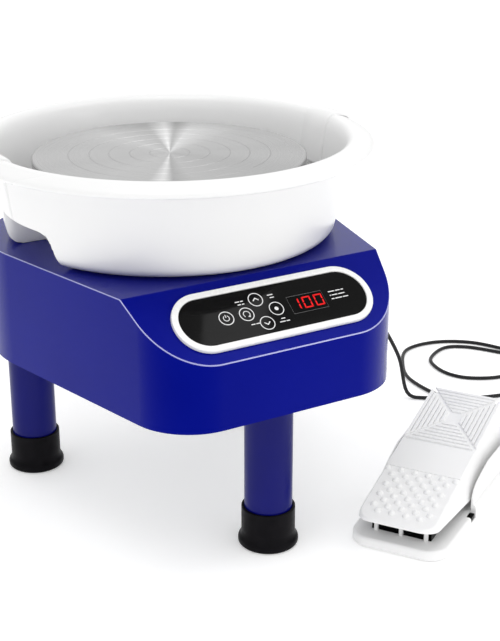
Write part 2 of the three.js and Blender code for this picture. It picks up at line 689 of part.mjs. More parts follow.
function pedalBase() {
  const bottom = PEDAL_PAD_H;
  const tray = lofted([
    levelRing(baseOutline(0), bottom), levelRing(baseOutline(0), PEDAL_BASE_TOP - 3),
    levelRing(baseOutline(0.9), PEDAL_BASE_TOP - 0.9), levelRing(baseOutline(3), PEDAL_BASE_TOP),
  ]);
  const hollow = plate(baseOutline(PEDAL_BASE_WALL), bottom - 1, PEDAL_BASE_TOP - PEDAL_BASE_WALL);
  // A ledge and cheeks run round the heel. They are kept only behind the cheeks' front edge.
  const inside = plate(baseOutline(CHEEK_INSIDE), PEDAL_BASE_TOP - 4, CHEEK_TOP + 1);
  const rim = joined(
    plate(baseOutline(0), PEDAL_BASE_TOP - 3, LEDGE_TOP),
    plate(baseOutline(CHEEK_OUTSIDE), PEDAL_BASE_TOP - 3, CHEEK_TOP),
  ).subtract(inside);
  const kept = sideProfile(CHEEK_SIDE, -BEYOND, BEYOND).rotate([0, 0, -90]);
  const ribs = TOE_RIBS_Y.map((y) => block(
    [TOE_RIB_X[0], y - TOE_RIB_HALF, PEDAL_BASE_TOP - 1], [TOE_RIB_X[1], y + TOE_RIB_HALF, TOE_RIB_TOP],
  ));
  const pinHole = rod(2.9, -BEYOND, BEYOND, [0, 0], 12)
    .rotate([90, 0, 0]).translate([PIVOT_X, 0, PIVOT_Z]);
  const notchEnd = CHEEK_FRONT + 1.5;
  const notches = [-1, 1].map((side) => {
    const outer = side * (baseHalfAt(CHEEK_FRONT) + 4);
    const inner = side * (baseHalfAt(CHEEK_FRONT) - NOTCH_DEPTH);
    return block([notchEnd - NOTCH_LENGTH, Math.min(inner, outer), NOTCH_Z[0]],
      [notchEnd, Math.max(inner, outer), NOTCH_Z[1]]);
  });
  const springSeat = rod(3.5, PEDAL_BASE_TOP - 1, PEDAL_BASE_TOP + 5, [PEDAL_SPRING_X, 0], 12);
  const glandHole = rod(3.9, PEDAL_LENGTH - 12, PEDAL_LENGTH + 5, [0, 0], 12)
    .rotate([0, 90, 0]).translate([0, 0, PEDAL_GLAND_Z]);
  const body = joined(cut(tray, hollow), rim.intersect(kept), ...ribs, springSeat);
  return cut(body, pinHole, glandHole, ...notches);
}

function treadleOutline(inset, flare) {
  const half = TREADLE_HALF - inset;
  const toe = TREADLE_TOE_X + inset;
  const heel = TREADLE_HEEL_X - inset;
  return roundedOutline([
    [toe, -half, 16 - inset], [heel - 14, -half, 4], [heel, -half + 12, 4],
    [heel, half - 12, 4], [heel - 14, half, 4], [toe, half, 16 - inset],
  ], 4).map(([x, y]) => [x, y + Math.sign(y) * flare(x)]);
}

const TOE_OPENING_HALF = 33;
const TOE_OPENING_TOP = 31.8;

function treadle() {
  const flareAt = (x) => (treadleTopAt(x) - skirtAt(x)) * TREADLE_DRAFT;
  const rounding = 1.5;
  const outer = lofted([
    treadleOutline(0, flareAt).map(([x, y]) => [x, y, skirtAt(x)]),
    treadleOutline(0, () => 0).map(([x, y]) => [x, y, treadleTopAt(x) - rounding]),
    treadleOutline(rounding, () => 0).map(([x, y]) => [x, y, treadleTopAt(x)]),
  ]);
  const inner = lofted([
    treadleOutline(TREADLE_WALL, flareAt).map(([x, y]) => [x, y, skirtAt(x) - 3]),
    treadleOutline(TREADLE_WALL, () => 0).map(([x, y]) => [x, y, treadleTopAt(x) - TREADLE_WALL]),
  ]);
  const toeOpening = block([0, -TOE_OPENING_HALF, 0], [40, TOE_OPENING_HALF, TOE_OPENING_TOP]);
  const pinHole = rod(2.9, -80, 80, [0, 0], 12).rotate([90, 0, 0]).translate([PIVOT_X, 0, PIVOT_Z]);
  const springPost = rod(3.5, 32, treadleTopAt(PEDAL_SPRING_X) - 1.5, [PEDAL_SPRING_X, 0], 12);
  return cut(joined(cut(outer, inner), springPost), toeOpening, pinHole);
}

addPiece('pedal_base', pedalBase(), WHITE_PLASTIC, pedal);
addPiece('pedal_treadle', treadle(), WHITE_PLASTIC, pedal);

const cover = plate(baseOutline(PEDAL_BASE_WALL + GAP), PEDAL_PAD_H + 0.1, PEDAL_PAD_H + 2.1);
addPiece('pedal_bottom_cover', cover, WHITE_PLASTIC, pedal);

const pinLength = 2 * (baseHalfAt(PIVOT_X) - CHEEK_OUTSIDE - 0.6);
addPiece('pedal_pin', rod(2.6, -pinLength / 2, pinLength / 2, [0, 0], 12)
  .rotate([90, 0, 0]).translate([PIVOT_X, 0, PIVOT_Z]), STEEL, pedal);

[[36, -32], [36, 32], [224, -42], [224, 42]].forEach(([x, y], i) => {
  addPiece(`pedal_pad_${i + 1}`, rod(7, 0, PEDAL_PAD_H - 0.2, [x, y], 16), RUBBER, pedal);
});

class Helix extends THREE.Curve {
  constructor(radius, turns, bottom, top, [x, y]) {
    super();
    Object.assign(this, { radius, turns, bottom, top, x, y });
  }

  getPoint(t, target = new THREE.Vector3()) {
    const angle = 2 * Math.PI * this.turns * t;
    return target.set(
      this.x + this.radius * Math.cos(angle),
      this.y + this.radius * Math.sin(angle),
      this.bottom + (this.top - this.bottom) * t,
    );
  }
}

function ringShape(radius, sides) {
  const points = [];
  for (let i = 0; i < sides; i += 1) {
    const angle = ((i + 0.5) / sides) * 2 * Math.PI;
    points.push([radius * Math.cos(angle), radius * Math.sin(angle)]);
  }
  return shapeOf(points);
}

function tube(curve, radius, sides, steps) {
  const options = { steps, extrudePath: curve, bevelEnabled: false };
  return solid(new THREE.ExtrudeGeometry(ringShape(radius, sides), options));
}

const springTop = treadleTopAt(PEDAL_SPRING_X) - TREADLE_WALL - 2.5;
addPiece('pedal_spring', tube(
  new Helix(6.5, 5, PEDAL_BASE_TOP + 1.5, springTop, [PEDAL_SPRING_X, 0]), 0.9, 5, 40,
), STEEL, pedal);

const sensorBoard = block([140, -22, PEDAL_BASE_TOP + GAP], [172, 22, PEDAL_BASE_TOP + 2]);
addPiece('pedal_sensor_board', sensorBoard, BOARD_GREEN, pedal);
const MAGNET_X = 150;
const magnetTop = treadleTopAt(MAGNET_X - 4) - TREADLE_WALL - GAP - 0.4;
const magnetBottom = treadleTopAt(MAGNET_X) - TREADLE_WALL - 10;
addPiece('pedal_magnet', rod(5, magnetBottom, magnetTop, [MAGNET_X, 0], 16), LAMINATION, pedal);

addPiece('pedal_cord_gland', turned([
  [0, -4.4], [3.6, -4.4], [3.6, GAP], [5.6, GAP], [5.6, 3], [4.6, 4.5],
  [3, PEDAL_GLAND_LENGTH], [0, PEDAL_GLAND_LENGTH],
], 12).rotate([0, 90, 0]).translate([PEDAL_LENGTH, 0, PEDAL_GLAND_Z]), BLACK_PLASTIC, pedal);

// The cord, from the housing's gland to the pedal's gland: it droops to the floor, runs past the
// pedal, makes one and a half loose turns beside the machine, and comes back over itself twice.
const LAID = CORD_R + 0.1; // centre height where it lies on the floor
const CROSSING = LAID + 4.4; // centre height where it passes over itself
const CORD_ROUTE = [
  [GLAND_X + GLAND_LENGTH + GAP, GLAND_Y, GLAND_Z],
  [212, 31, 185], [240, 25, 171.5], [256, 21, 155], [285, 15.4, 108], [312, 10.3, 57],
  [327, 6, 5.6], [347, -9.5, LAID], [405, -41, LAID], [475, -54, LAID], [507, -46, LAID],
  [531, -27, LAID], [542, 0, LAID], [537, 28, LAID], [524, 48, LAID], [490, 98, LAID],
  [465, 109.5, LAID], [424, 88, LAID], [413.5, 63, LAID], [414, 37, LAID], [427, 15, LAID],
  [466, -3.5, LAID], [508, 8, LAID], [522, 27, LAID + 1.2], [527, 44, CROSSING],
  [528, 62, LAID + 1.2], [507, 106, LAID], [464, 132.5, LAID], [417, 130, LAID],
  [377, 85, LAID], [363, 57, LAID], [359, 30, LAID], [359.5, -5, LAID + 1.2],
  [359.5, -17, CROSSING], [359.3, -29, LAID + 1.2], [354, -68, LAID], [335, -114, 5.2],
  [302.2, -144.7, 17.8],
];
const onPedal = (x, z) => pedal.localToWorld(new THREE.Vector3(x, 0, z)).setZ(z);

class CordPath extends THREE.Curve {
  constructor(points) {
    super();
    this.spline = new THREE.CatmullRomCurve3(points, false, 'centripetal');
  }

  // The spline would dip a little below the floor where it lands.
  getPoint(t, target = new THREE.Vector3()) {
    this.spline.getPoint(t, target);
    target.z = Math.max(target.z, LAID);
    return target;
  }
}

function pedalCord() {
  wheel.updateMatrixWorld(true);
  const end = onPedal(PEDAL_LENGTH + PEDAL_GLAND_LENGTH + GAP, PEDAL_GLAND_Z);
  const points = CORD_ROUTE.map((point) => new THREE.Vector3(...point));
  return new CordPath([...points, end]);
}
addPiece('pedal_cord', tube(pedalCord(), CORD_R, 8, 80), CORD_BLACK);

export default wheel;
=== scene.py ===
# Tabletop pottery wheel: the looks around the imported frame.
# Shapes are written in millimetres with heights from the floor, and put() turns them into the
# row frame: metres, with the origin at the centre of the wheel head's top face.

import json
import math

import bmesh
import bpy
import numpy as np
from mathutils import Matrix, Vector


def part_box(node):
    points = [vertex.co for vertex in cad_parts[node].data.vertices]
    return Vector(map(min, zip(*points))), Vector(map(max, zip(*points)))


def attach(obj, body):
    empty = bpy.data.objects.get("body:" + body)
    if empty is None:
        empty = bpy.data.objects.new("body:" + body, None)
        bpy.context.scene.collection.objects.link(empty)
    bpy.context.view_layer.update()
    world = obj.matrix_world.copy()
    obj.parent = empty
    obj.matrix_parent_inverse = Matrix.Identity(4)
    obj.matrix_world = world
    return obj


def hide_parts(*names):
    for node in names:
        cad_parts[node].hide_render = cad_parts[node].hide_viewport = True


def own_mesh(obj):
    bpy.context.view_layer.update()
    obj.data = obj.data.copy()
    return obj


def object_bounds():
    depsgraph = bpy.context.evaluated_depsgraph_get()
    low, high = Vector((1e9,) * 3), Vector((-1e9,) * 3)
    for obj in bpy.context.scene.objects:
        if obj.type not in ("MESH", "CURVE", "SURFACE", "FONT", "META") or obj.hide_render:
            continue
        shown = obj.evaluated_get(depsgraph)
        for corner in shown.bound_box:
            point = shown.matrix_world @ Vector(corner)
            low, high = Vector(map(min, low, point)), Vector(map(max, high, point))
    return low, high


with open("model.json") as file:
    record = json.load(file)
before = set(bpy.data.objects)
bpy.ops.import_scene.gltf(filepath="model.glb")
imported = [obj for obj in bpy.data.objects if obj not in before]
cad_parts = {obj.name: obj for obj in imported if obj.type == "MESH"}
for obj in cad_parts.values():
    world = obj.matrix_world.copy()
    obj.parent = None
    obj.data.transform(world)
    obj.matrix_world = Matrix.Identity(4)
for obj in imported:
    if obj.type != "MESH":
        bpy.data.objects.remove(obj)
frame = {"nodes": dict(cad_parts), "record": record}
CAD_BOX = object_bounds()
MM = 0.001
FLOOR = CAD_BOX[0].z / MM  # the floor's height in the row frame, in mm


def put(x, y, z):
    """A point in mm, its height from the floor, in the row frame."""
    return Vector((x, y, z + FLOOR)) * MM


def box_mm(node):
    """A CAD node's corners in mm, heights from the floor."""
    return tuple(Vector(corner) / MM - Vector((0, 0, FLOOR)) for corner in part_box(node))


# Driving dimensions, in mm, read from the frame where it has them.
GAP = 0.3
HEAD_LOW, HEAD_HIGH = box_mm("wheel_head")
WHEEL_R = HEAD_HIGH.x
WHEEL_TOP = HEAD_HIGH.z
HOUSING_LOW, HOUSING_HIGH = box_mm("housing_shell")
HOUSING_TOP = HOUSING_HIGH.z
HOUSING_BOTTOM = HOUSING_LOW.z
FRONT_Y = HOUSING_LOW.y
BACK_Y = HOUSING_HIGH.y
FRONT_HALF = 125
BACK_HALF = 212.7
FRONT_FILLET = 63.1
BACK_FILLET = 118.6
SHEET = 2
BEND_Y = -167.5
FRONT_WALL_TOP = 222.8
PANEL_TILT = math.atan2(HOUSING_TOP - FRONT_WALL_TOP, BEND_Y - FRONT_Y)
BASIN_FLOOR = HOUSING_TOP + GAP
BASIN_WALL = 3

# ---- camera, cord, floor and light


CAMERA_PLACE = (-0.6314, -1.2143, 0.3463)
CAMERA_FORWARD = (0.47878, 0.80000, -0.36162)
CAMERA_LENS = 77.07


def add_object(name, data):
    thing = bpy.data.objects.new(name, data)
    bpy.context.scene.collection.objects.link(thing)
    return thing


def aim(thing, place, forward):
    thing.location = place
    thing.rotation_mode = "QUATERNION"
    thing.rotation_quaternion = Vector(forward).to_track_quat("-Z", "Y")


def add_camera():
    data = bpy.data.cameras.new("camera")
    data.sensor_width = 36
    data.lens = CAMERA_LENS
    data.clip_end = 50
    camera = add_object("camera", data)
    aim(camera, CAMERA_PLACE, CAMERA_FORWARD)
    bpy.context.scene.camera = camera


add_camera()

CORD_D = 4.6
LAID = CORD_D / 2 + 0.1  # height of the cord's middle where it lies on the floor
HUMP = LAID + 1.2  # beside the places where it runs over itself
CROSSING = LAID + 4.4  # where it runs over itself
GLAND_EXIT = (box_mm("cord_gland")[1].x + GAP, 31, 185)
PEDAL_HEADING = math.radians(33)
PEDAL_PLACE = Vector((74.1, -292.8, 0))
PEDAL_TOE_X, PEDAL_LENGTH = 18.5, 248
PEDAL_GLAND_LENGTH = 14
PEDAL_GLAND_Z = 18


def on_pedal(x, y, z):
    """A point in the pedal's own lines: x from toe to heel, y to the left."""
    c, s = math.cos(PEDAL_HEADING), math.sin(PEDAL_HEADING)
    return Vector((PEDAL_PLACE.x + x * c - y * s, PEDAL_PLACE.y + x * s + y * c, z))


CORD_ROUTE = [
    GLAND_EXIT,
    (212, 31, 185), (240, 25, 171.5), (256, 21, 155), (285, 15.4, 108), (312, 10.3, 57),
    (327, 6, 5.6), (347, -9.5, LAID), (405, -41, LAID), (475, -54, LAID), (507, -46, LAID),
    (531, -27, LAID), (542, 0, LAID), (537, 28, LAID), (524, 48, LAID), (490, 98, LAID),
    (465, 109.5, LAID), (424, 88, LAID), (413.5, 63, LAID), (414, 37, LAID), (427, 15, LAID),
    (466, -3.5, LAID), (508, 8, LAID), (522, 27, HUMP), (527, 44, CROSSING),
    (528, 62, HUMP), (507, 106, LAID), (464, 132.5, LAID), (417, 130, LAID),
    (377, 85, LAID), (363, 57, LAID), (359, 30, LAID), (359.5, -5, HUMP),
    (359.5, -17, CROSSING), (359.3, -29, HUMP), (354, -68, LAID), (335, -114, 5.2),
    (302.2, -144.7, 17.8),
    tuple(on_pedal(PEDAL_LENGTH + PEDAL_GLAND_LENGTH + GAP, 0, PEDAL_GLAND_Z)),
]


def smooth_route(points, steps):
    """Centripetal Catmull-Rom curve through the points, steps samples to a span."""
    knots = np.array(points, float)
    knots = np.vstack([2 * knots[0] - knots[1], knots, 2 * knots[-1] - knots[-2]])
    samples = []
    for p0, p1, p2, p3 in zip(knots, knots[1:], knots[2:], knots[3:]):
        d0, d1, d2 = (math.sqrt(np.linalg.norm(b - a)) for a, b in ((p0, p1), (p1, p2), (p2, p3)))
        leave = ((p1 - p0) / d0 - (p2 - p0) / (d0 + d1) + (p2 - p1) / d1) * d1
        arrive = ((p2 - p1) / d1 - (p3 - p1) / (d1 + d2) + (p3 - p2) / d2) * d1
        for t in np.arange(steps) / steps:
            samples.append(
                p1 + leave * t + (3 * (p2 - p1) - 2 * leave - arrive) * t**2
                + (2 * (p1 - p2) + leave + arrive) * t**3
            )
    samples.append(knots[-2])
    return np.array(samples)


def add_cord():
    route = smooth_route(CORD_ROUTE, 8)
    route[:, 2] = np.maximum(route[:, 2], LAID)
    data = bpy.data.curves.new("cord_to_pedal", "CURVE")
    data.dimensions = "3D"
    data.bevel_depth = 1.0  # the points carry the real radius, so that the box is right
    data.bevel_resolution = 5
    data.use_fill_caps = True
    spline = data.splines.new("POLY")
    spline.points.add(len(route) - 1)
    for point, place in zip(spline.points, route):
        point.co = (*put(*place), 1)
        point.radius = CORD_D / 2 * MM
    cord = add_object("cord_to_pedal", data)
    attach(cord, "root")
    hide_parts("pedal_cord")
    return cord


cord = add_cord()


FLOOR_HALF = 7.0  # in metres


def add_floor(material):
    mesh = bpy.data.meshes.new("floor")
    corners = [(x * FLOOR_HALF, y * FLOOR_HALF, FLOOR * MM) for x, y in rectangle(-1, -1, 1, 1)]
    mesh.from_pydata(corners, [], [(0, 1, 2, 3)])
    mesh.materials.append(material)
    add_object("floor", mesh)


def rectangle(x0, y0, x1, y1):
    return [(x0, y0), (x1, y0), (x1, y1), (x0, y1)]


STAGE_MIDDLE = (0.0, -0.05, -0.1)
# Each area light's place, the point it looks at, its size in metres and its power in watts.
# The strip and the wedge over the right side are what the panel's glass mirrors.
LIGHTS = {
    "key": ((-1.9, -1.2, 1.5), STAGE_MIDDLE, (1.2, 1.2), 0.5),
    "overhead": ((-0.25, -0.35, 1.7), STAGE_MIDDLE, (1.0, 1.0), 5),
    "back_right": ((1.3, 2.0, 0.75), STAGE_MIDDLE, (1.8, 1.0), 1.6),
    "right": ((1.1, -1.6, 0.1), (0.45, -0.2, -0.3), (0.7, 0.7), 2.6),
    "panel_strip": ((0.85, -0.49, 1.25), (0.85, -0.5, 0), (0.8, 0.2), 1.3),
    "panel_wedge": ((0.69, -0.31, 1.25), (0.6875, -0.32, 0), (0.15, 0.2), 0.25),
}
# The world is a little darker towards the horizon than overhead.
HORIZON_LIGHT = 0.74
FULL_LIGHT_FROM = 0.9


def light_the_stage():
    bpy.context.scene.view_settings.view_transform = "Standard"
    world = bpy.data.worlds.new("studio")
    world.use_nodes = True
    tree = world.node_tree
    background = tree.nodes["Background"]
    direction = tree.nodes.new("ShaderNodeTexCoord")
    height = tree.nodes.new("ShaderNodeSeparateXYZ")
    fade = tree.nodes.new("ShaderNodeMapRange")
    fade.inputs["From Max"].default_value = FULL_LIGHT_FROM
    fade.inputs["To Min"].default_value = HORIZON_LIGHT
    tree.links.new(direction.outputs["Generated"], height.inputs["Vector"])
    tree.links.new(height.outputs["Z"], fade.inputs["Value"])
    tree.links.new(fade.outputs["Result"], background.inputs["Strength"])
    background.inputs["Color"].default_value = (1, 1, 1, 1)
    bpy.context.scene.world = world
    for name, (place, target, size, power) in LIGHTS.items():
        data = bpy.data.lights.new(name, "AREA")
        data.shape = "RECTANGLE"
        data.size, data.size_y = size
        data.energy = power
        aim(add_object(name, data), place, Vector(target) - Vector(place))


# ---- materials


class Shader:
    """A material with a Principled shader and short ways to wire procedural nodes."""

    def __init__(self, name, **sockets):
        self.material = bpy.data.materials.new(name)
        self.material.use_nodes = True
        self.nodes = self.material.node_tree.nodes
        self.links = self.material.node_tree.links
        self.shader = self.nodes["Principled BSDF"]
        for socket, value in sockets.items():
            self.shader.inputs[socket.replace("_", " ")].default_value = value

    def node(self, kind, **settings):
        made = self.nodes.new(kind)
        for key, value in settings.items():
            if key in made.inputs:
                made.inputs[key].default_value = value
            else:
                setattr(made, key, value)
        return made

    def link(self, source, target):
        self.links.new(source, target)

    def place(self):
        return self.node("ShaderNodeTexCoord").outputs["Object"]

    def texture(self, kind, output, **settings):
        made = self.node(kind, **settings)
        self.link(self.place(), made.inputs["Vector"])
        return made.outputs[output]

    def noise(self, scale, detail):
        return self.texture("ShaderNodeTexNoise", "Fac", Scale=scale, Detail=detail, Roughness=0.55)

    def ramp(self, factor, low, high):
        """Spreads a factor's middle, where noise mostly lies, over low to high."""
        limits = {"From Min": 0.3, "From Max": 0.7, "To Min": low, "To Max": high}
        spread = self.node("ShaderNodeMapRange", **limits)
        self.link(factor, spread.inputs["Value"])
        return spread.outputs["Result"]

    def roughness_from(self, factor, low, high):
        self.link(self.ramp(factor, low, high), self.shader.inputs["Roughness"])

    def colour_from(self, factor, first, second):
        mix = self.node("ShaderNodeMix", data_type="RGBA")
        factor_in, first_in, second_in = (mix.inputs[i] for i in (0, 6, 7))
        first_in.default_value = (*first, 1)
        second_in.default_value = (*second, 1)
        self.link(self.ramp(factor, 0, 1), factor_in)
        self.link(mix.outputs[2], self.shader.inputs["Base Color"])

    def bump(self, height, depth_mm, strength):
        bump = self.node("ShaderNodeBump", Strength=strength, Distance=depth_mm * MM)
        self.link(height, bump.inputs["Height"])
        self.link(bump.outputs["Normal"], self.shader.inputs["Normal"])


def finish(name, colours, roughness=None, relief=None, **sockets):
    """A material whose colour, roughness and relief each follow a noise.

    Each is a row: the noise's scale and detail, then two colours, two roughnesses, or the
    relief's depth in mm and its strength.
    """
    m = Shader(name, **sockets)
    for row, wire in ((colours, m.colour_from), (roughness, m.roughness_from), (relief, m.bump)):
        if row:
            scale, detail, first, second = row
            wire(m.noise(scale, detail), first, second)
    return m.material


def panel_print(shade):
    return finish("panel_print", (40, 2, (shade,) * 3, (shade * 1.07,) * 3), (200, 2, 0.4, 0.5))


# Where the painted sheen wedges lie, as shares of a turn, and how light each is: a painted reflection in the
# base colour.
PAINTED_SHEEN_WEDGES = (
    (0.01, 0.50), (0.15, 0.52), (0.215, 0.40), (0.236, 0.64), (0.25, 0.27), (0.28, 0.40), (0.36, 0.46),
    (0.5, 0.48), (0.64, 0.52), (0.715, 0.62), (0.737, 0.30), (0.752, 0.78), (0.778, 0.38), (0.85, 0.58),
    (0.99, 0.50),
)
PAINTED_SHEEN_TURN = math.radians(26)  # turns the whole ring of wedges round the axis


def turned_aluminium():
    m = Shader("turned_aluminium", Metallic=1.0, Anisotropic=0.93)
    tangent = m.node("ShaderNodeTangent", direction_type="RADIAL", axis="Z")
    m.link(tangent.outputs["Tangent"], m.shader.inputs["Tangent"])
    # Narrow light and dark wedges round the axis are painted into the base colour: a painted reflection
    # standing for the sheen of turned metal.
    turn = m.node("ShaderNodeVectorRotate", rotation_type="Z_AXIS")
    turn.inputs["Angle"].default_value = PAINTED_SHEEN_TURN
    m.link(m.place(), turn.inputs["Vector"])
    angle = m.node("ShaderNodeTexGradient", gradient_type="RADIAL")
    m.link(turn.outputs["Vector"], angle.inputs["Vector"])
    wedges = m.node("ShaderNodeValToRGB")
    for place, shade in PAINTED_SHEEN_WEDGES:
        stop = wedges.color_ramp.elements.new(place)
        stop.color = (shade, shade, shade, 1)
    for end in (0, -1):
        wedges.color_ramp.elements[end].color = (*[PAINTED_SHEEN_WEDGES[0][1]] * 3, 1)
    m.link(angle.outputs["Fac"], wedges.inputs["Fac"])
    m.link(wedges.outputs["Color"], m.shader.inputs["Base Color"])
    # Fine turning marks: noise that varies only with the distance from the axis.
    flat = m.node("ShaderNodeVectorMath", operation="MULTIPLY")
    flat.inputs[1].default_value = (1, 1, 0)
    m.link(m.place(), flat.inputs[0])
    radius = m.node("ShaderNodeVectorMath", operation="LENGTH")
    m.link(flat.outputs["Vector"], radius.inputs[0])
    marks = m.node("ShaderNodeTexNoise", noise_dimensions="1D", Scale=2600.0, Detail=4.0)
    m.link(radius.outputs["Value"], marks.inputs["W"])
    m.bump(marks.outputs["Fac"], 0.02, 0.5)
    m.roughness_from(marks.outputs["Fac"], 0.24, 0.36)
    return m.material


def laminations():
    m = Shader("steel_laminations", Metallic=0.8)
    sheets = m.texture("ShaderNodeTexWave", "Fac", bands_direction="Z", Scale=320.0)
    m.colour_from(sheets, (0.1, 0.1, 0.105), (0.22, 0.22, 0.225))
    m.roughness_from(m.noise(200, 3), 0.4, 0.6)
    m.bump(sheets, 0.1, 0.5)
    return m.material


def circuit_board():
    m = Shader("circuit_board", Coat_Weight=0.5, Coat_Roughness=0.15)
    cells = m.texture("ShaderNodeTexVoronoi", "Distance", distance="MANHATTAN", Scale=260.0)
    m.colour_from(cells, (0.01, 0.09, 0.03), (0.02, 0.16, 0.05))
    m.roughness_from(m.noise(200, 2), 0.4, 0.55)
    return m.material


FINISHES = {
    "blue_coat": finish(
        "blue_powder_coat", (9, 2, (0.0012, 0.0035, 0.19), (0.0016, 0.0045, 0.21)),
        (400, 2, 0.13, 0.2), (1100, 1, 0.02, 0.2),
        IOR=1.4, Specular_Tint=(0.02, 0.06, 1.0, 1), Specular_IOR_Level=0.3),
    "basin_plastic": finish(
        "gloss_white_abs", (5, 2, (0.88, 0.88, 0.879), (0.89, 0.89, 0.889)), (4, 1, 0.27, 0.29),
        Coat_Weight=0.3, Coat_Roughness=0.15),
    "bezel_plastic": finish(
        "bezel_white", (30, 2, (0.86, 0.86, 0.855), (0.9, 0.9, 0.895)), (300, 2, 0.22, 0.3),
        Coat_Weight=0.3, Coat_Roughness=0.1),
    "pedal_plastic": finish(
        "satin_white_plastic", (8, 2, (0.89, 0.89, 0.888), (0.91, 0.91, 0.908)),
        (220, 3, 0.38, 0.5), (1600, 2, 0.02, 0.4)),
    "panel_glass": finish(
        "black_panel_glass", (20, 2, (0.002,) * 3, (0.003,) * 3), (90, 2, 0.04, 0.06),
        Specular_IOR_Level=0.08),
    "display": finish(
        "display_red", (50, 2, (0.3, 0.002, 0.003), (0.4, 0.003, 0.004)), (100, 2, 0.3, 0.4),
        Emission_Color=(1.0, 0.012, 0.012, 1), Emission_Strength=0.62, Specular_IOR_Level=0.1),
    "black_plastic": finish(
        "black_nylon", (60, 3, (0.012, 0.012, 0.013), (0.02, 0.02, 0.021)),
        (300, 3, 0.36, 0.5), (1400, 2, 0.03, 0.4)),
    "rubber": finish(
        "foot_rubber", (70, 4, (0.003, 0.0027, 0.0038), (0.006, 0.0055, 0.007)),
        (260, 4, 0.3, 0.46), (900, 3, 0.05, 0.4), Specular_IOR_Level=0.06),
    "circuit_board": circuit_board(),
    "turned_aluminium": turned_aluminium(),
    "cast_aluminium": finish(
        "cast_aluminium", (40, 4, (0.42, 0.425, 0.43), (0.55, 0.555, 0.56)),
        (200, 4, 0.4, 0.58), (700, 3, 0.06, 0.5), Metallic=1.0),
    "lamination": laminations(),
    "steel": finish(
        "plated_steel", (30, 3, (0.5, 0.51, 0.52), (0.62, 0.625, 0.63)),
        (180, 4, 0.26, 0.42), (900, 2, 0.02, 0.3), Metallic=1.0),
    "cord": finish(
        "cord_pvc", (90, 3, (0.004, 0.004, 0.005), (0.008, 0.008, 0.009)),
        (350, 3, 0.3, 0.44), (700, 2, 0.03, 0.3), Specular_IOR_Level=0.3),
}
LEG_PAINT = finish(
    "leg_paint", (12, 2, (0.001, 0.002, 0.12), (0.0014, 0.0026, 0.14)), (60, 2, 0.3, 0.36),
    Coat_Weight=0.15, Coat_Roughness=0.1, Specular_IOR_Level=0.1)
PRINT_WHITE = panel_print(0.8)
LINE_GREY = panel_print(0.12)
DEEP_BLACK = finish(
    "window_black_and_painted_shade", (20, 2, (0.0008,) * 3, (0.001,) * 3), (90, 2, 0.1, 0.14),
    Specular_IOR_Level=0.05)
# The blue coat on the rounded cut edges: its lighter base colour is a painted highlight line, and its strong
# coat adds real reflection.
BLUE_EDGE_PAINTED_HIGHLIGHT = finish(
    "blue_coat_edge_painted_highlight", (9, 2, (0.24, 0.25, 0.62), (0.27, 0.28, 0.66)), (400, 2, 0.2, 0.3),
    Coat_Weight=1.0, Coat_IOR=2.6, Coat_Roughness=0.2, IOR=1.4)
FLOOR_WHITE = finish(
    "studio_floor", (2, 2, (0.96,) * 3, (0.97,) * 3),
    Roughness=0.9, Emission_Color=(1, 1, 1, 1), Emission_Strength=0.25, Specular_IOR_Level=0.2)
cord.data.materials.append(FINISHES["cord"])
add_floor(FLOOR_WHITE)
light_the_stage()

# ---- mesh tools


def new_object(name, mesh, slot, body="root", nodes=(), material=None):
    piece = add_object(name, mesh)
    mesh.materials.clear()
    mesh.materials.append(material or FINISHES[slot])
    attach(piece, body)
    if nodes:
        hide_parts(*nodes)
    return piece


def add_piece(name, shape, slot, body="root", nodes=(), material=None, place=put, sharp=35):
    """A piece made of a shape's points and faces, given in mm."""
    mesh = mesh_from(name, *shape, place=place, sharp=sharp)
    return new_object(name, mesh, slot, body, nodes, material)


def mesh_from(name, points, faces, place=put, sharp=35):
    """A mesh from points in mm; place turns each into the row frame."""
    mesh = bpy.data.meshes.new(name)
    mesh.from_pydata([place(*p) for p in points], [], faces)
    tidy(mesh, sharp)
    return mesh


def tidy(mesh, sharp=35):
    """Merges doubled points, turns the faces outward and shades smooth up to the sharp angle."""
    work = bmesh.new()
    work.from_mesh(mesh)
    bmesh.ops.remove_doubles(work, verts=work.verts, dist=0.00001)
    bmesh.ops.dissolve_degenerate(work, edges=work.edges, dist=0.000005)
    bmesh.ops.recalc_face_normals(work, faces=work.faces)
    work.to_mesh(mesh)
    work.free()
    mesh.polygons.foreach_set("use_smooth", [True] * len(mesh.polygons))
    mesh.set_sharp_from_angle(angle=math.radians(sharp))
    mesh.update()


def bevel(piece, width, segments=3, angle=30):
    """Rounds the edges sharper than the angle by a width in mm."""
    modifier = piece.modifiers.new("rounding", "BEVEL")
    modifier.width = width * MM
    modifier.segments = segments
    modifier.limit_method = "ANGLE"
    modifier.angle_limit = math.radians(angle)
    modifier.use_clamp_overlap = True
    modifier.miter_outer = "MITER_ARC"
    modifier.harden_normals = True
    return piece


def settle(piece):
    """Applies a piece's modifiers to its mesh."""
    graph = bpy.context.evaluated_depsgraph_get()
    mesh = bpy.data.meshes.new_from_object(piece.evaluated_get(graph))
    piece.modifiers.clear()
    piece.data = mesh
    tidy(mesh)


def weigh_normals(piece):
    modifier = piece.modifiers.new("weighted_normals", "WEIGHTED_NORMAL")
    modifier.keep_sharp = True
    modifier.weight = 80


def carve(piece, *tools):
    """Cuts closed tool meshes out of a piece."""
    for mesh in tools:
        cutter = add_object("cutter", mesh)
        modifier = piece.modifiers.new("carve", "BOOLEAN")
        modifier.operation = "DIFFERENCE"
        modifier.solver = "EXACT"
        modifier.object = cutter
        bpy.context.view_layer.update()
        settle(piece)
        bpy.data.objects.remove(cutter)


def arc(centre, radius, start, stop, steps):
    """Points on an arc, angles in degrees, both ends included."""
    turns = np.radians(np.linspace(start, stop, steps + 1))
    return [(centre[0] + radius * math.cos(t), centre[1] + radius * math.sin(t)) for t in turns]


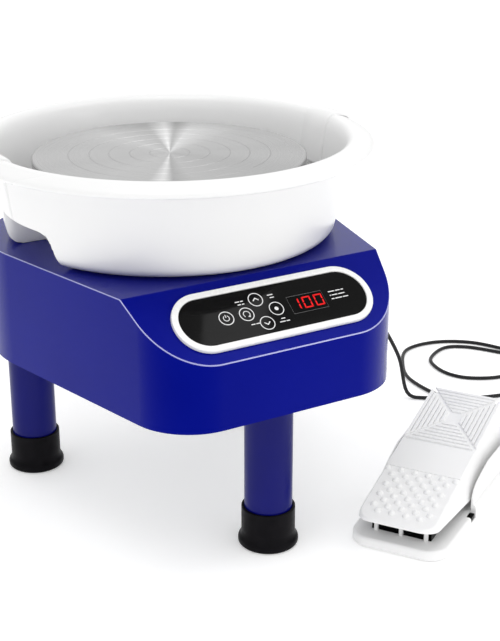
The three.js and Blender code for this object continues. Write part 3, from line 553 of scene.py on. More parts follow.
def rounded_rectangle(x0, y0, x1, y1, radius, steps):
    return rounded_outline([(x, y, radius) for x, y in rectangle(x0, y0, x1, y1)], steps)


def across(along):
    """Unit normals to the left of rows of directions."""
    normal = np.stack([-along[:, 1], along[:, 0]], 1)
    return normal / np.linalg.norm(normal, axis=1)[:, None]


def corner_at(outline, i):
    """A corner, and the vectors from it to the corners before and after it."""
    here, before, after = (np.array(outline[j % len(outline)][:2], float) for j in (i, i - 1, i + 1))
    return here, before - here, after - here


def rounded_outline(corners, steps):
    """Closed outline, counter-clockwise, through corners (x, y, radius) rounded by arcs."""
    outline = []
    for i, (_, _, radius) in enumerate(corners):
        here, before, after = corner_at(corners, i)
        before /= np.linalg.norm(before)
        after /= np.linalg.norm(after)
        half = math.acos(max(-1, min(1, float(before @ after)))) / 2
        start = here + before * radius / math.tan(half)
        middle = here + (before + after) / np.linalg.norm(before + after) * radius / math.sin(half)
        sweep = math.pi - 2 * half
        first = math.atan2(*(start - middle)[::-1])
        outline += arc(middle, radius, math.degrees(first), math.degrees(first + sweep), steps)
    return outline


def prism(outline, low, high):
    """Points and faces of an outline's closed plate from z low to high."""
    return loft([[(x, y, z) for x, y in outline] for z in (low, high)])


def loft(rings, closed=True):
    """Points and faces of a body through rings of equal point counts; the ends are closed flat."""
    count = len(rings[0])
    points = [p for ring in rings for p in ring]
    faces = []
    for k in range(len(rings) - 1):
        for i in range(count):
            a, b = k * count + i, k * count + (i + 1) % count
            faces.append((a, b, b + count, a + count))
    if closed:
        faces.append(tuple(range(count))[::-1])
        faces.append(tuple(range((len(rings) - 1) * count, len(rings) * count)))
    return points, faces


def together(parts):
    """Points and faces of several closed bodies as one list."""
    points, faces = [], []
    for part_points, part_faces in parts:
        base = len(points)
        points += part_points
        faces += [tuple(base + i for i in face) for face in part_faces]
    return points, faces


def lathe(profile, steps, centre=(0, 0)):
    """Points and faces of a profile (r, z) turned about a vertical axis; the profile closes."""
    rings = []
    for k in range(steps):
        turn = 2 * math.pi * k / steps
        c, s = math.cos(turn), math.sin(turn)
        rings.append([(centre[0] + r * c, centre[1] + r * s, z) for r, z in profile])
    return loft(rings + rings[:1], closed=False)


def round_profile(profile, radii, steps=4):
    """A closed (r, z) profile with the named corners rounded; a corner on the axis stays sharp."""
    rounded = []
    for i, corner in enumerate(profile):
        if i not in radii:
            rounded.append(corner)
            continue
        radius = radii[i]
        here, before, after = corner_at(profile, i)
        reach = min(radius, np.linalg.norm(before) * 0.49, np.linalg.norm(after) * 0.49)
        before /= np.linalg.norm(before)
        after /= np.linalg.norm(after)
        first, last = here + before * reach, here + after * reach
        for t in np.linspace(0, 1, steps + 1):
            # A quadratic curve is close enough to an arc at these small radii.
            rounded.append(tuple((1 - t) ** 2 * first + 2 * t * (1 - t) * here + t**2 * last))
    return rounded


def turned(name, profile, slot, nodes, centre, radii, steps=96, material=None):
    shape = lathe(round_profile(profile, radii), steps, centre)
    weigh_normals(add_piece(name, shape, slot, "root", nodes, material))


def smooth_step(x, low, high):
    t = np.clip((x - low) / (high - low), 0, 1)
    return t * t * (3 - 2 * t)


# ---- housing

FLARE = (BACK_HALF - FRONT_HALF) / (BACK_Y - FRONT_Y)
HUB_HOLE_R = 32
INLET_INSET = 4.7
PANEL_WINDOW = (-92, -62, 92, -26)
CUT = 12  # how far a cutting tool stands out of the face it cuts


def housing_outline(steps=28):
    return rounded_outline([
        (sx * (FRONT_HALF + (y - FRONT_Y) * FLARE), y, radius) for sx, y, radius in (
            (-1, FRONT_Y, FRONT_FILLET), (1, FRONT_Y, FRONT_FILLET),
            (1, BACK_Y, BACK_FILLET), (-1, BACK_Y, BACK_FILLET))], steps)


def with_bend_points(outline):
    """The outline with a point added wherever it crosses the bend line."""
    result = []
    for (x0, y0), (x1, y1) in zip(outline, outline[1:] + outline[:1]):
        result.append((x0, y0))
        if (y0 - BEND_Y) * (y1 - BEND_Y) < 0:
            t = (BEND_Y - y0) / (y1 - y0)
            result.append((x0 + t * (x1 - x0), BEND_Y))
    return result


def build_housing():
    outline = with_bend_points(housing_outline())
    count = len(outline)
    slope = math.tan(PANEL_TILT)
    bottom = [(x, y, HOUSING_BOTTOM) for x, y in outline]
    top = [(x, y, HOUSING_TOP - max(0, BEND_Y - y) * slope) for x, y in outline]
    points, faces = loft([bottom, top], closed=False)
    first, last = (count + i for i, (x, y) in enumerate(outline) if abs(y - BEND_Y) < 1e-6)
    faces.append(tuple(range(first, last + 1)))
    faces.append((*range(last, 2 * count), *range(count, first + 1)))
    housing = add_piece("housing", (points, faces), "blue_coat", "root", ["housing_shell"])
    # The bevel faces take the edge finish, whose lighter colour is a painted highlight.
    housing.data.materials.append(BLUE_EDGE_PAINTED_HIGHLIGHT)
    bevel(housing, 0.7, 3, 12).modifiers["rounding"].material = 1
    settle(housing)
    # The bend into the sloped panel is a plain fold, without the painted highlight of the cut edges.
    for face in housing.data.polygons:
        if abs(face.normal.x) < 0.02 and face.normal.z > math.cos(PANEL_TILT) - 0.01:
            face.material_index = 0
    solidify = housing.modifiers.new("sheet", "SOLIDIFY")
    solidify.thickness = SHEET * MM
    solidify.offset = -1
    solidify.use_even_offset = True
    settle(housing)
    hub_hole = prism(arc((0, 0), HUB_HOLE_R, 0, 354, 59), HOUSING_TOP - CUT, HOUSING_TOP + CUT)
    low, high = box_mm("power_inlet")
    opening = rectangle(low.x + INLET_INSET, BACK_Y - CUT, high.x - INLET_INSET, BACK_Y + CUT)
    inlet = prism(opening, low.z + INLET_INSET, high.z - INLET_INSET)
    window = prism(rectangle(*PANEL_WINDOW), -CUT / 2, CUT / 2)
    carve(housing, mesh_from("hub_hole", *hub_hole), mesh_from("inlet", *inlet),
          mesh_from("window", *window, place=on_panel))
    weigh_normals(housing)


def on_panel(x, y, z):
    """A point on the sloped panel: x along the housing, y up the slope from the bend, z out of it."""
    c, s = math.cos(PANEL_TILT), math.sin(PANEL_TILT)
    return put(x, BEND_Y + y * c - z * s, HOUSING_TOP + y * s + z * c)


build_housing()

# ---- legs and feet

LEGS = {"front": "foot_front", "rear_left": "foot_rear_left", "rear_right": "foot_rear_right"}
PLUG_DEPTH = 30
PLUG_HOLE_R = 8.6
TUBE_WALL = 3
SLEEVE_R = 26.7
SOLE = 6


def build_legs():
    for place, foot in LEGS.items():
        low, high = box_mm(foot)
        centre = ((low.x + high.x) / 2, (low.y + high.y) / 2)
        tube_low, tube_high = box_mm(f"leg_{place}")
        leg_r = (tube_high.x - tube_low.x) / 2
        leg_top, leg_bottom = tube_high.z, tube_low.z
        bore, plug = leg_r - TUBE_WALL, leg_top - PLUG_DEPTH
        turned(
            f"leg_tube_{place}",
            [(PLUG_HOLE_R, plug), (PLUG_HOLE_R, leg_top), (leg_r, leg_top), (leg_r, leg_bottom),
             (bore, leg_bottom), (bore, plug)],
            "blue_coat", [f"leg_{place}"], centre, {1: 0.8, 2: 1, 3: 0.6, 4: 0.6},
            material=LEG_PAINT,
        )
        lip, height, seat = (high.x - low.x) / 2, high.z, leg_r + GAP
        turned(
            f"rubber_foot_{place}",
            [(0, 0), (28, 0), (lip, 2), (lip, 7), (SLEEVE_R + 0.9, 10), (SLEEVE_R, 13.5),
             (SLEEVE_R, height), (seat, height), (seat, SOLE), (0, SOLE)],
            "rubber", [foot], centre, {1: 1, 2: 1.6, 3: 2, 4: 1.4, 5: 3, 6: 1.3, 7: 0.8}, steps=120,
        )


build_legs()

# ---- wheel head

GROOVES = (20.6, 41, 62, 82, 103)
# Sections by distance and depth: a groove from its middle, and the rim's edge inward from it.
GROOVE = ((-0.7, 0), (-0.55, 0.06), (-0.2, 0.45), (0.2, 0.45), (0.55, 0.06), (0.7, 0))
RIM_EDGE = ((1.9, 0), (1.2, 0.15), (0.6, 0.55), (0.15, 1.15), (0, 1.6))
UNDER_EDGE = 0.8


def build_wheel_head():
    profile = [(0, WHEEL_TOP)]
    for radius in GROOVES:
        profile += [(radius + out, WHEEL_TOP - depth) for out, depth in GROOVE]
    profile += [(WHEEL_R - inward, WHEEL_TOP - depth) for inward, depth in RIM_EDGE]
    profile += [(WHEEL_R, HEAD_LOW.z + UNDER_EDGE), (WHEEL_R - UNDER_EDGE, HEAD_LOW.z), (0, HEAD_LOW.z)]
    weigh_normals(add_piece(
        "wheel_disc", lathe(profile, 256), "turned_aluminium", "wheel", ["wheel_head"], sharp=25))


build_wheel_head()

# ---- splash basin

OUTER_WALL = [
    (155, 274.5), (163, 277.2), (168.2, 282.4), (170.4, 289.5), (174.6, 320), (179, 350),
    (180.8, 357), (184.5, 361.6), (190, 364.3), (197, 364.6), (204.5, 363.2),
    (207, 364.4), (207.8, 367), (206, 370), (198.5, 373.6), (190.5, 375.4), (185.5, 374.8), (181.3, 371),
]
INNER_WALL = [(178.4, 364), (176, 350), (171.6, 320), (167.4, 290), (165.4, 284), (161, 279.8), (154, 277.8)]
COLLAR_R = 34
COLLAR_TOP = 328
RECESS_X = 128
RECESS_DRAFT = 2.5
RECESS_END_ROUND = 16
RECESS_BACK = 30
RECESS_END_X = OUTER_WALL[5][0] - 5 - RECESS_END_ROUND
NO_RECESS = BASIN_FLOOR - 30
EDGE_EASE = 0.35
# Height of the recess ceiling by y, front to back.
RECESS_EDGE = [
    (-67, 262), (-66, 272), (-64.8, 284), (-62.6, 293.5), (-60.2, 301.5), (-56.8, 306.2),
    (-51, 308.8), (-44, 309.5),
]


def basin_profile():
    """Closed (r, z) loop of the basin's section, and the row where the inside begins."""
    skin = smooth_route([(r, z, 0) for r, z in OUTER_WALL + INNER_WALL], 5)[:, :2]
    low, high = BASIN_FLOOR, BASIN_FLOOR + BASIN_WALL + 0.3
    inner_r = COLLAR_R + BASIN_WALL
    floor_out = [(COLLAR_R, low + 0.6), (COLLAR_R + 0.6, low)]
    floor_out += [(r, low) for r in (60, 90, 112, 120, 124, 126.5, *np.arange(127.6, 155, 0.9))]
    floor_in = [(r, high) for r in (*np.arange(153, 121.5, -0.9), 119, 112, 90, 60, inner_r + 2.5)]
    collar = [
        (inner_r + 0.9, high + 0.6), (inner_r, low + 6), (inner_r, COLLAR_TOP - 1),
        (inner_r - 1, COLLAR_TOP), (COLLAR_R + 1, COLLAR_TOP), (COLLAR_R, COLLAR_TOP - 1),
    ]
    loop = floor_out + [tuple(p) for p in skin] + floor_in + collar
    return np.array(loop), len(floor_out) + 5 * (len(OUTER_WALL) - 1)


def recess_ceiling(x, y, grow):
    """Height that the recess lifts the basin's skin to at (x, y); grow is the wall's thickness."""
    ys, zs = np.array(RECESS_EDGE).T
    height = np.interp(y + grow, ys, zs, left=NO_RECESS) + grow
    reach = np.clip(np.abs(x) - RECESS_END_X, 0, RECESS_END_ROUND - 0.5)
    end = RECESS_BACK + RECESS_END_ROUND - np.sqrt(RECESS_END_ROUND**2 - reach**2)
    lift = smooth_step(grow - y, -end - 0.2, -end + 2.3)
    lift = lift * smooth_step(np.abs(x) + grow, RECESS_X, RECESS_X + RECESS_DRAFT)
    base = BASIN_FLOOR - 4
    return np.where(lift > 0, base + (height - base) * lift, NO_RECESS)


def soft_max(a, b, round_mm):
    """Maximum of two heights with the corner between them rounded."""
    h = np.clip(0.5 + 0.5 * (a - b) / round_mm, 0, 1)
    return b + (a - b) * h + round_mm * h * (1 - h)


def basin_columns(side):
    """Angles of the columns of one half, finer round the recess ends."""
    coarse = np.radians(np.arange(0, 181, 1.5))
    fine = []
    for y in (RECESS_EDGE[0][0] - 4, RECESS_BACK - 4):
        for r in (RECESS_X, 172):
            middle = math.asin(y / r)
            fine += list(np.linspace(middle - 0.03, middle + 0.11, 42))
    fine = np.array(fine)
    angles = np.concatenate([side * coarse, fine, side * math.pi - fine])
    angles = angles[(side * angles >= 0) & (side * angles <= math.pi)]
    return np.unique(np.round(angles, 4))


def basin_half(node, side):
    """The front half, with side -1, or the rear half, with side 1."""
    loop, turn = basin_profile()
    inside = np.arange(len(loop)) >= turn
    columns = []
    for angle in basin_columns(side):
        x = loop[:, 0] * math.cos(angle)
        y = side * np.maximum(side * loop[:, 0] * math.sin(angle), GAP / 2)
        outer = recess_ceiling(x, y, 0)
        inner = recess_ceiling(x, y, BASIN_WALL)
        z = loop[:, 1]
        lifted = soft_max(z, np.where(inside, inner, outer), 1.6)
        z = np.where(np.maximum(outer, inner) > NO_RECESS + 10, lifted, z)
        columns.append(np.stack([x, y, z], 1))
    columns = [chamfered(columns[0])] + columns + [chamfered(columns[-1])]
    for column in (columns[1], columns[-2]):
        column[:, 1] += side * EDGE_EASE
    shape = loft([[tuple(p) for p in column] for column in columns])
    add_piece(f"{node}_half", shape, "basin_plastic", node, [node], sharp=50)


def chamfered(column):
    """An end column drawn in along its own outline's normals, so that the edge is eased."""
    section = np.stack([np.abs(column[:, 0]), column[:, 2]], 1)
    along = np.roll(section, -1, 0) - np.roll(section, 1, 0)
    length = np.maximum(np.linalg.norm(along, axis=1), 1e-6)
    normal = np.stack([along[:, 1], -along[:, 0]], 1) / length[:, None]
    eased = section - EDGE_EASE * normal
    return np.stack([np.sign(column[:, 0]) * eased[:, 0], column[:, 1], eased[:, 1]], 1)


# The saddles: a strap over the rim at each joint, straight along Y, part of the rear half.
RIM_SECTION = [
    (172.3, 324), (176.4, 350), (178.6, 363.6), (181.5, 371.2), (185.5, 375), (190.6, 375.6),
    (198.7, 373.9), (206.3, 370.3), (208.1, 367), (207.3, 364.1), (204.4, 362.9), (200, 363.8),
]
SADDLE_CLEAR_INSIDE = 1.3  # the rim curves towards the strap's inner leg
SADDLE_CLEAR = 0.45
SADDLE_WALL = 2.6
SADDLE_LIP = 4  # how far back the rounding of its front edge runs
SADDLE_FRONT = -22
SADDLE_BACK = 30
SADDLE_STRAIGHT = 4  # y up to which it stands clear of the rim
CREST_R = 195


def offset_section(points, distance):
    return points + across(np.gradient(points, axis=0)) * distance


def build_saddle(side):
    rim = smooth_route([(x, z, 0) for x, z in RIM_SECTION], 4)[:, :2]
    rings = []
    lip = SADDLE_FRONT + SADDLE_LIP * (1 - np.cos(np.radians(np.arange(0, 91, 11.25))))
    for y in (*lip, *np.linspace(-16, SADDLE_STRAIGHT, 8), *np.linspace(6, SADDLE_BACK, 16)):
        blend = 1 - smooth_step(y, SADDLE_STRAIGHT, SADDLE_BACK)
        turn = min(1, (y - SADDLE_FRONT) / SADDLE_LIP)
        ease = (SADDLE_WALL + SADDLE_CLEAR + 0.3) * (1 - math.sqrt(1 - (1 - turn) ** 2))
        inward = 1 - smooth_step(rim[:, 0], 178, 186)
        clear = SADDLE_CLEAR + (SADDLE_CLEAR_INSIDE - SADDLE_CLEAR) * inward
        bulge = ((clear + SADDLE_WALL) * blend - 0.6 * (1 - blend) - ease)[:, None]
        sunk = max(0, ease - SADDLE_WALL + 0.1)  # the front lip comes down onto the rim
        hidden = (clear * blend - 2.2 * (1 - blend) - sunk)[:, None]
        back = CREST_R - math.sqrt(CREST_R**2 - y**2) if y > 0 else 0
        outer = offset_section(rim, bulge)
        inner = offset_section(rim, hidden)[::-1]
        tip = (outer[-1] + inner[0]) / 2
        rings.append([(side * (x - back), y, z) for x, z in np.vstack([outer, tip[None], inner])])
    return loft(rings)


def build_basin():
    basin_half("basin_front", -1)
    basin_half("basin_rear", 1)
    saddles = together([build_saddle(-1), build_saddle(1)])
    add_piece("rim_saddles", saddles, "basin_plastic", "basin_rear", sharp=45)


build_basin()

# ---- control panel

PANEL_LEFT, PANEL_RIGHT = -105.5, 107
PANEL_UPPER, PANEL_LOWER = -10.8, -75.6
BEZEL_WIDTH = 6.6
BEZEL_TOP = 3.6
GLASS_TOP = 2.9
PRINT_BOTTOM = GLASS_TOP + 0.01
WINDOW_TOP = GLASS_TOP + 0.05
PRINT_TOP = GLASS_TOP + 0.08


def stadium(inset, height):
    """A ring of the panel's outline moved inward, at a height over the slope."""
    radius = (PANEL_UPPER - PANEL_LOWER) / 2 - 0.5 - inset
    outline = rounded_rectangle(
        PANEL_LEFT + inset, PANEL_LOWER + inset, PANEL_RIGHT - inset, PANEL_UPPER - inset, radius, 20)
    return [(x, y, height) for x, y in outline]


def build_bezel():
    """A white frame with a softly rounded top, lofted round the stadium."""
    section = [
        (0, GAP), (0, BEZEL_TOP - 1.3), (0.35, BEZEL_TOP - 0.45), (1.2, BEZEL_TOP),
        (BEZEL_WIDTH - 0.9, BEZEL_TOP), (BEZEL_WIDTH - 0.25, BEZEL_TOP - 0.25),
        (BEZEL_WIDTH, BEZEL_TOP - 0.8), (BEZEL_WIDTH, GAP), (0, GAP),
    ]
    frame_shape = loft([stadium(*row) for row in section], closed=False)
    weigh_normals(add_piece(
        "bezel_frame", frame_shape, "bezel_plastic", "root", ["panel_bezel"], place=on_panel))


def build_glass():
    edge = BEZEL_WIDTH + 0.1
    section = [(edge, GAP), (edge, GLASS_TOP - 0.5), (edge + 0.5, GLASS_TOP)]
    plate = loft([stadium(*row) for row in section])
    weigh_normals(add_piece(
        "glass_plate", plate, "panel_glass", "root", ["panel_glass"], place=on_panel))


def stroke(points, width, closed=False):
    """A flat printed line of one width along points (x, y), as a thin closed body."""
    path = np.array(points, float)
    if closed:
        along = np.roll(path, -1, 0) - np.roll(path, 1, 0)
    else:
        along = np.gradient(path, axis=0)
    normal = across(along)
    corner = np.ones(len(path))
    if not closed and len(path) == 3:
        _, first, last = corner_at(points, 1)
        cosine = float(first @ last / np.linalg.norm(first) / np.linalg.norm(last))
        corner[1] = 1 / math.sin(math.acos(cosine) / 2)
    shift = normal * (width / 2 * corner)[:, None]
    left, right = path + shift, path - shift
    if not closed:
        return prism(np.vstack([left, right[::-1]]), PRINT_BOTTOM, PRINT_TOP)
    section = ((left, PRINT_BOTTOM), (left, PRINT_TOP), (right, PRINT_TOP), (right, PRINT_BOTTOM))
    rings = [[(*p, z) for p in line] for line, z in section]
    return loft(rings + rings[:1], closed=False)


def disc(centre, radius, steps=32):
    return prism(arc(centre, radius, 0, 360 - 360 / steps, steps - 1), PRINT_BOTTOM, PRINT_TOP)


ICON_R = 7.1
ICON_LINE = 0.85
# Centres of the touch keys: x, and the distance down the slope.
KEYS = {
    "power": (-52.2, 43.8), "turn": (-30.8, 44.0), "up": (-15.0, 30.6), "stop": (1.1, 44.5),
    "down": (-15.0, 57.6),
}
TURN_R, TURN_START = 3.3, -50
ARROW = ((-1.8, -0.2), (0.6, -1.4), (1.2, 1.5))


def key_icon(kind, x, y):
    parts = [stroke(arc((x, y), ICON_R, 0, 352.5, 47), ICON_LINE, closed=True)]
    if kind == "power":
        parts.append(stroke(arc((x, y), 2.9, 120, 420, 30), 0.7))
        parts.append(stroke([(x, y + 0.7), (x, y + 3.9)], 0.7))
    elif kind == "turn":
        line = arc((x, y), TURN_R, TURN_START, 225, 30)
        arrow = [(line[0][0] + right, line[0][1] + up) for right, up in ARROW]
        parts += [stroke(line, 0.75), prism(arrow, PRINT_BOTTOM, PRINT_TOP)]
    elif kind == "stop":
        parts.append(disc((x, y), 2.0))
    else:
        rise = 1.7 if kind == "up" else -1.7
        parts.append(stroke([(x - 3, y - rise * 0.6), (x, y + rise), (x + 3, y - rise * 0.6)], 1.0))
    return parts


SEGMENTS = {"0": "abcdef", "1": "bc"}
DIGIT_W, DIGIT_H = 9.2, 12.8
DIGIT_LEAN = 0.05
DIGIT_Y = -44.5
DIGITS = (("1", 22.2), ("0", 35.2), ("0", 48.2))
DISPLAY = (16, -54.4, 54.5, -35.2)


def digit_segment(kind, x, y):
    """One bar of a seven-segment digit whose centre is (x, y), with mitred ends."""
    half_w, half_h, wide, slit = DIGIT_W / 2, DIGIT_H / 2, 1.45, 0.22
    if kind in "ad":
        sign = 1 if kind == "a" else -1
        outer, inner = y + sign * half_h, y + sign * (half_h - wide)
        bar = [(x - half_w + slit, outer), (x + half_w - slit, outer),
               (x + half_w - wide - slit, inner), (x - half_w + wide + slit, inner)]
    else:
        sign = 1 if kind in "bc" else -1
        top = y + half_h - slit if kind in "bf" else y - slit
        bottom = y + slit if kind in "bf" else y - half_h + slit
        outer, inner = x + sign * half_w, x + sign * (half_w - wide)
        upper_cut, lower_cut = (wide, wide / 2) if kind in "bf" else (wide / 2, wide)
        bar = [(outer, top), (outer, bottom), (inner, bottom + lower_cut), (inner, top - upper_cut)]
    return [(px + (py - y) * DIGIT_LEAN, py) for px, py in bar]


# Rows of short dashes stand where the panel is lettered: start x, y and the dashes' lengths.
LABELS = (
    (-36.5, -29.3, (4.6, 3.0)), (-35.0, -32.6, (3.6, 2.6)), (-1.5, -28.6, (6.0,)), (0.0, -31.8, (4.4,)),
    (-31.5, -56.0, (4.2, 4.6)), (0.5, -56.2, (4.2,)), (-2.5, -59.6, (6.0, 3.8)),
    (61.5, -38.6, (7.2, 5.4, 2.8)), (61.5, -42.8, (1.4, 6.2, 7.2)), (61.5, -47.0, (3.2, 7.6, 6.0)),
)
LABEL_LINE = 1.0
LABEL_GAP = 1.0


def label_dashes():
    parts = []
    for x, y, lengths in LABELS:
        for length in lengths:
            parts.append(stroke([(x, y), (x + length, y)], LABEL_LINE))
            x += length + LABEL_GAP
    return parts


def build_prints():
    icons = label_dashes()
    for kind, (x, down) in KEYS.items():
        icons += key_icon(kind, x, -down)
    window = rectangle(*DISPLAY)
    bars = [prism(digit_segment(kind, x, DIGIT_Y), WINDOW_TOP, PRINT_TOP + 0.04)
            for digit, x in DIGITS for kind in SEGMENTS[digit]]
    for name, shape, slot, material in (
        ("key_icons", together(icons), "bezel_plastic", PRINT_WHITE),
        ("display_window", prism(window, PRINT_BOTTOM, WINDOW_TOP), "panel_glass", DEEP_BLACK),
        ("display_frame", stroke(window, 0.35, closed=True), "bezel_plastic", LINE_GREY),
        ("display_digits", together(bars), "display", None),
    ):
        add_piece(name, shape, slot, material=material, place=on_panel)


build_bezel()
build_glass()
build_prints()

# ---- foot pedal

PEDAL_TOE_HALF, PEDAL_HEEL_HALF = 49, 57
PEDAL_PAD_H = 2
NOTCH_DEPTH, NOTCH_LENGTH = 6.5, 12
PEDAL_BASE_TOP = 12
CHEEK_FRONT = 114
CHEEK_OUTSIDE, CHEEK_INSIDE = 3, 5.4
LEDGE_TOP = 20
TREADLE_TOE_X, TREADLE_HEEL_X = 14.5, 241
TREADLE_TOE_Z, TREADLE_HEEL_Z = 36.3, 84
TREADLE_GRADE = (TREADLE_HEEL_Z - TREADLE_TOE_Z) / (TREADLE_HEEL_X - TREADLE_TOE_X)
TREADLE_HALF = 40
TREADLE_DRAFT = 0.14
TREADLE_WALL = 2.6
PIVOT_X = 185
PEDAL_TRAVEL = math.radians(3.5)
OUTLINE_STEP = 2.5
TOE_RIB_X, TOE_RIB_Y = (37, 58), (-26, 0, 26)
TOE_RIB_HALF, TOE_RIB_TOP = 2, 23
# The toe block is black painted shade under the treadle: its corners and its top.
TOE_SHADE_BLOCK, TOE_SHADE_BLOCK_TOP = (40, -31, 60, 31), 21.5


def pedal_put(x, y, z):
    place = on_pedal(x, y, z)
    return put(place.x, place.y, z)


def pedal_piece(name, shape, body="root", nodes=()):
    return add_piece(name, shape, "pedal_plastic", body, nodes, place=pedal_put)


def base_half(x):
    return PEDAL_TOE_HALF + (PEDAL_HEEL_HALF - PEDAL_TOE_HALF) * x / PEDAL_LENGTH


def base_outline(inset, steps=12):
    toe, heel = PEDAL_TOE_X + inset, PEDAL_LENGTH - inset
    toe_half, heel_half = base_half(PEDAL_TOE_X) - inset, base_half(PEDAL_LENGTH) - inset
    return rounded_outline([
        (toe, -toe_half, 22 - inset), (heel, -heel_half, 14 - inset),
        (heel, heel_half, 14 - inset), (toe, toe_half, 22 - inset)], steps)


# Height of the cheeks' top edge along the pedal: a straight front, then a rise towards the heel.
CHEEK_EDGE = [
    (CHEEK_FRONT - 0.4, 12), (CHEEK_FRONT + 0.4, 27), (116, 32), (119, 36), (123.5, 39.2),
    (128, 41.5), (140, 45), (152, 48), (163, 50),
]


def fine_base_path():
    """The base's outline in short steps, with stations at the cheeks' front, and its inward normals."""
    outline = []
    corners = base_outline(0)
    for (x0, y0), (x1, y1) in zip(corners, corners[1:] + corners[:1]):
        steps = max(1, int(math.hypot(x1 - x0, y1 - y0) / OUTLINE_STEP))
        shares = set(np.arange(steps) / steps)
        for x in (CHEEK_FRONT - 0.5, CHEEK_FRONT + 0.5):
            if (x0 - x) * (x1 - x) < 0:
                shares.add((x - x0) / (x1 - x0))
        outline += [(x0 + (x1 - x0) * t, y0 + (y1 - y0) * t) for t in sorted(shares)]
    path = np.array(outline)
    return path, across(np.roll(path, -1, 0) - np.roll(path, 1, 0))


def notch_blocks(grow, low, high, outer):
    """Blocks at the two notches in front of the cheeks, out to a distance from the middle."""
    inner = base_half(CHEEK_FRONT) - NOTCH_DEPTH - grow
    x0, x1 = CHEEK_FRONT - NOTCH_LENGTH - grow, CHEEK_FRONT + 1.5 + grow
    blocks = []
    for side in (-1, 1):
        y0, y1 = sorted((side * inner, side * outer))
        blocks.append(prism(rounded_rectangle(x0, y0, x1, y1, 1.2, 4), low, high))
    return blocks


def build_pedal_base():
    """A flat tray with a rounded toe, a ledge round the heel and cheeks inside the ledge."""
    path, inward = fine_base_path()
    top = PEDAL_BASE_TOP
    cheek = np.interp(path[:, 0], *np.array(CHEEK_EDGE).T)
    ledge = np.minimum(cheek, LEDGE_TOP)
    raised = np.clip((cheek - top) / 12, 0, 1)
    # Inset and height of each ring. In front of the cheeks, where nothing is raised, the upper
    # rings lie flat on the tray's top.
    rows = [
        (PEDAL_PAD_H + 1.5, PEDAL_PAD_H + 2.2), (PEDAL_PAD_H + 0.9, PEDAL_PAD_H),
        (0.9, PEDAL_PAD_H), (0.25, PEDAL_PAD_H + 0.3), (0, PEDAL_PAD_H + 1),
        (0, ledge - 3), (0.3, ledge - 1.7), (1.0, ledge - 0.6), (2.0, ledge - 0.1),
        (CHEEK_OUTSIDE - 0.4, ledge), (CHEEK_OUTSIDE, ledge + 0.4 * raised),
        (CHEEK_OUTSIDE + 0.1, ledge + (cheek - ledge) * 0.5),
        (CHEEK_OUTSIDE + 0.2, np.maximum(cheek - 0.9 * raised, ledge)),
        (CHEEK_OUTSIDE + 0.5, np.maximum(cheek - 0.25 * raised, ledge)), (CHEEK_OUTSIDE + 1.1, cheek),
        (CHEEK_INSIDE - 0.4, cheek - 0.1 * raised), (CHEEK_INSIDE, cheek - 0.7 * raised),
        (CHEEK_INSIDE + 0.05, np.minimum(cheek, top + 1.2 * raised)), (CHEEK_INSIDE + 1, top),
    ]
    rings = []
    for inset, heights in rows:
        heights = np.broadcast_to(heights, len(path))
        rings.append([(x, y, z) for (x, y), z in zip(path + inward * inset, heights)])
    tray = pedal_piece("pedal_tray", loft(rings), nodes=["pedal_base", "pedal_bottom_cover"])
    half = base_half(CHEEK_FRONT)
    carve(tray, *(mesh_from("notch", *block, place=pedal_put)
                  for block in notch_blocks(0, top - 6, top + 4.5, half + 4)))
    weigh_normals(tray)
    # Black blocks are painted shade: they stand for the deep shadow inside the notches and between the ribs
    # under the toe.
    shade_blocks = together(notch_blocks(-0.25, top - 5.8, top - 1.5, half - 0.9))
    wall = prism(rectangle(*TOE_SHADE_BLOCK), top + 0.1, TOE_SHADE_BLOCK_TOP)
    for name, shape in (("notch_shade_blocks", shade_blocks), ("toe_shade_block", wall)):
        add_piece(name, shape, "black_plastic", material=DEEP_BLACK, place=pedal_put)
    ribs = [prism(rectangle(TOE_RIB_X[0], y - TOE_RIB_HALF, TOE_RIB_X[1], y + TOE_RIB_HALF),
                  top - 0.5, TOE_RIB_TOP) for y in TOE_RIB_Y]
    bevel(pedal_piece("toe_ribs", together(ribs)), 0.6, 3)


def treadle_top(x):
    return TREADLE_TOE_Z + (x - TREADLE_TOE_X) * TREADLE_GRADE


def skirt_at(x):
    clear = PEDAL_BASE_TOP + 1 + max(0, PIVOT_X - x) * math.tan(PEDAL_TRAVEL)
    return max(clear, 33 - (x - TREADLE_TOE_X) * 0.2)


def treadle_ring(inset, height, flared=False):
    """A ring of the treadle's outline moved inward; a flared one follows the skirts outward."""
    half, toe, heel = TREADLE_HALF - inset, TREADLE_TOE_X + inset, TREADLE_HEEL_X - inset
    outline = rounded_outline([
        (toe, -half, 16 - inset), (heel - 14, -half, 5), (heel, -half + 12, 5),
        (heel, half - 12, 5), (heel - 14, half, 5), (toe, half, 16 - inset)], 8)
    if flared:
        outline = [(x, y + math.copysign((treadle_top(x) - skirt_at(x)) * TREADLE_DRAFT, y))
                   for x, y in outline]
    return [(x, y, height(x)) for x, y in outline]


TOE_OPENING_HALF = 33
TOE_OPENING_TOP = 31.8
TOE_OPENING_REACH = 40
ROUNDING = 2.2
SUNK = 0.3  # how far bumps, band and ribs reach into the treadle


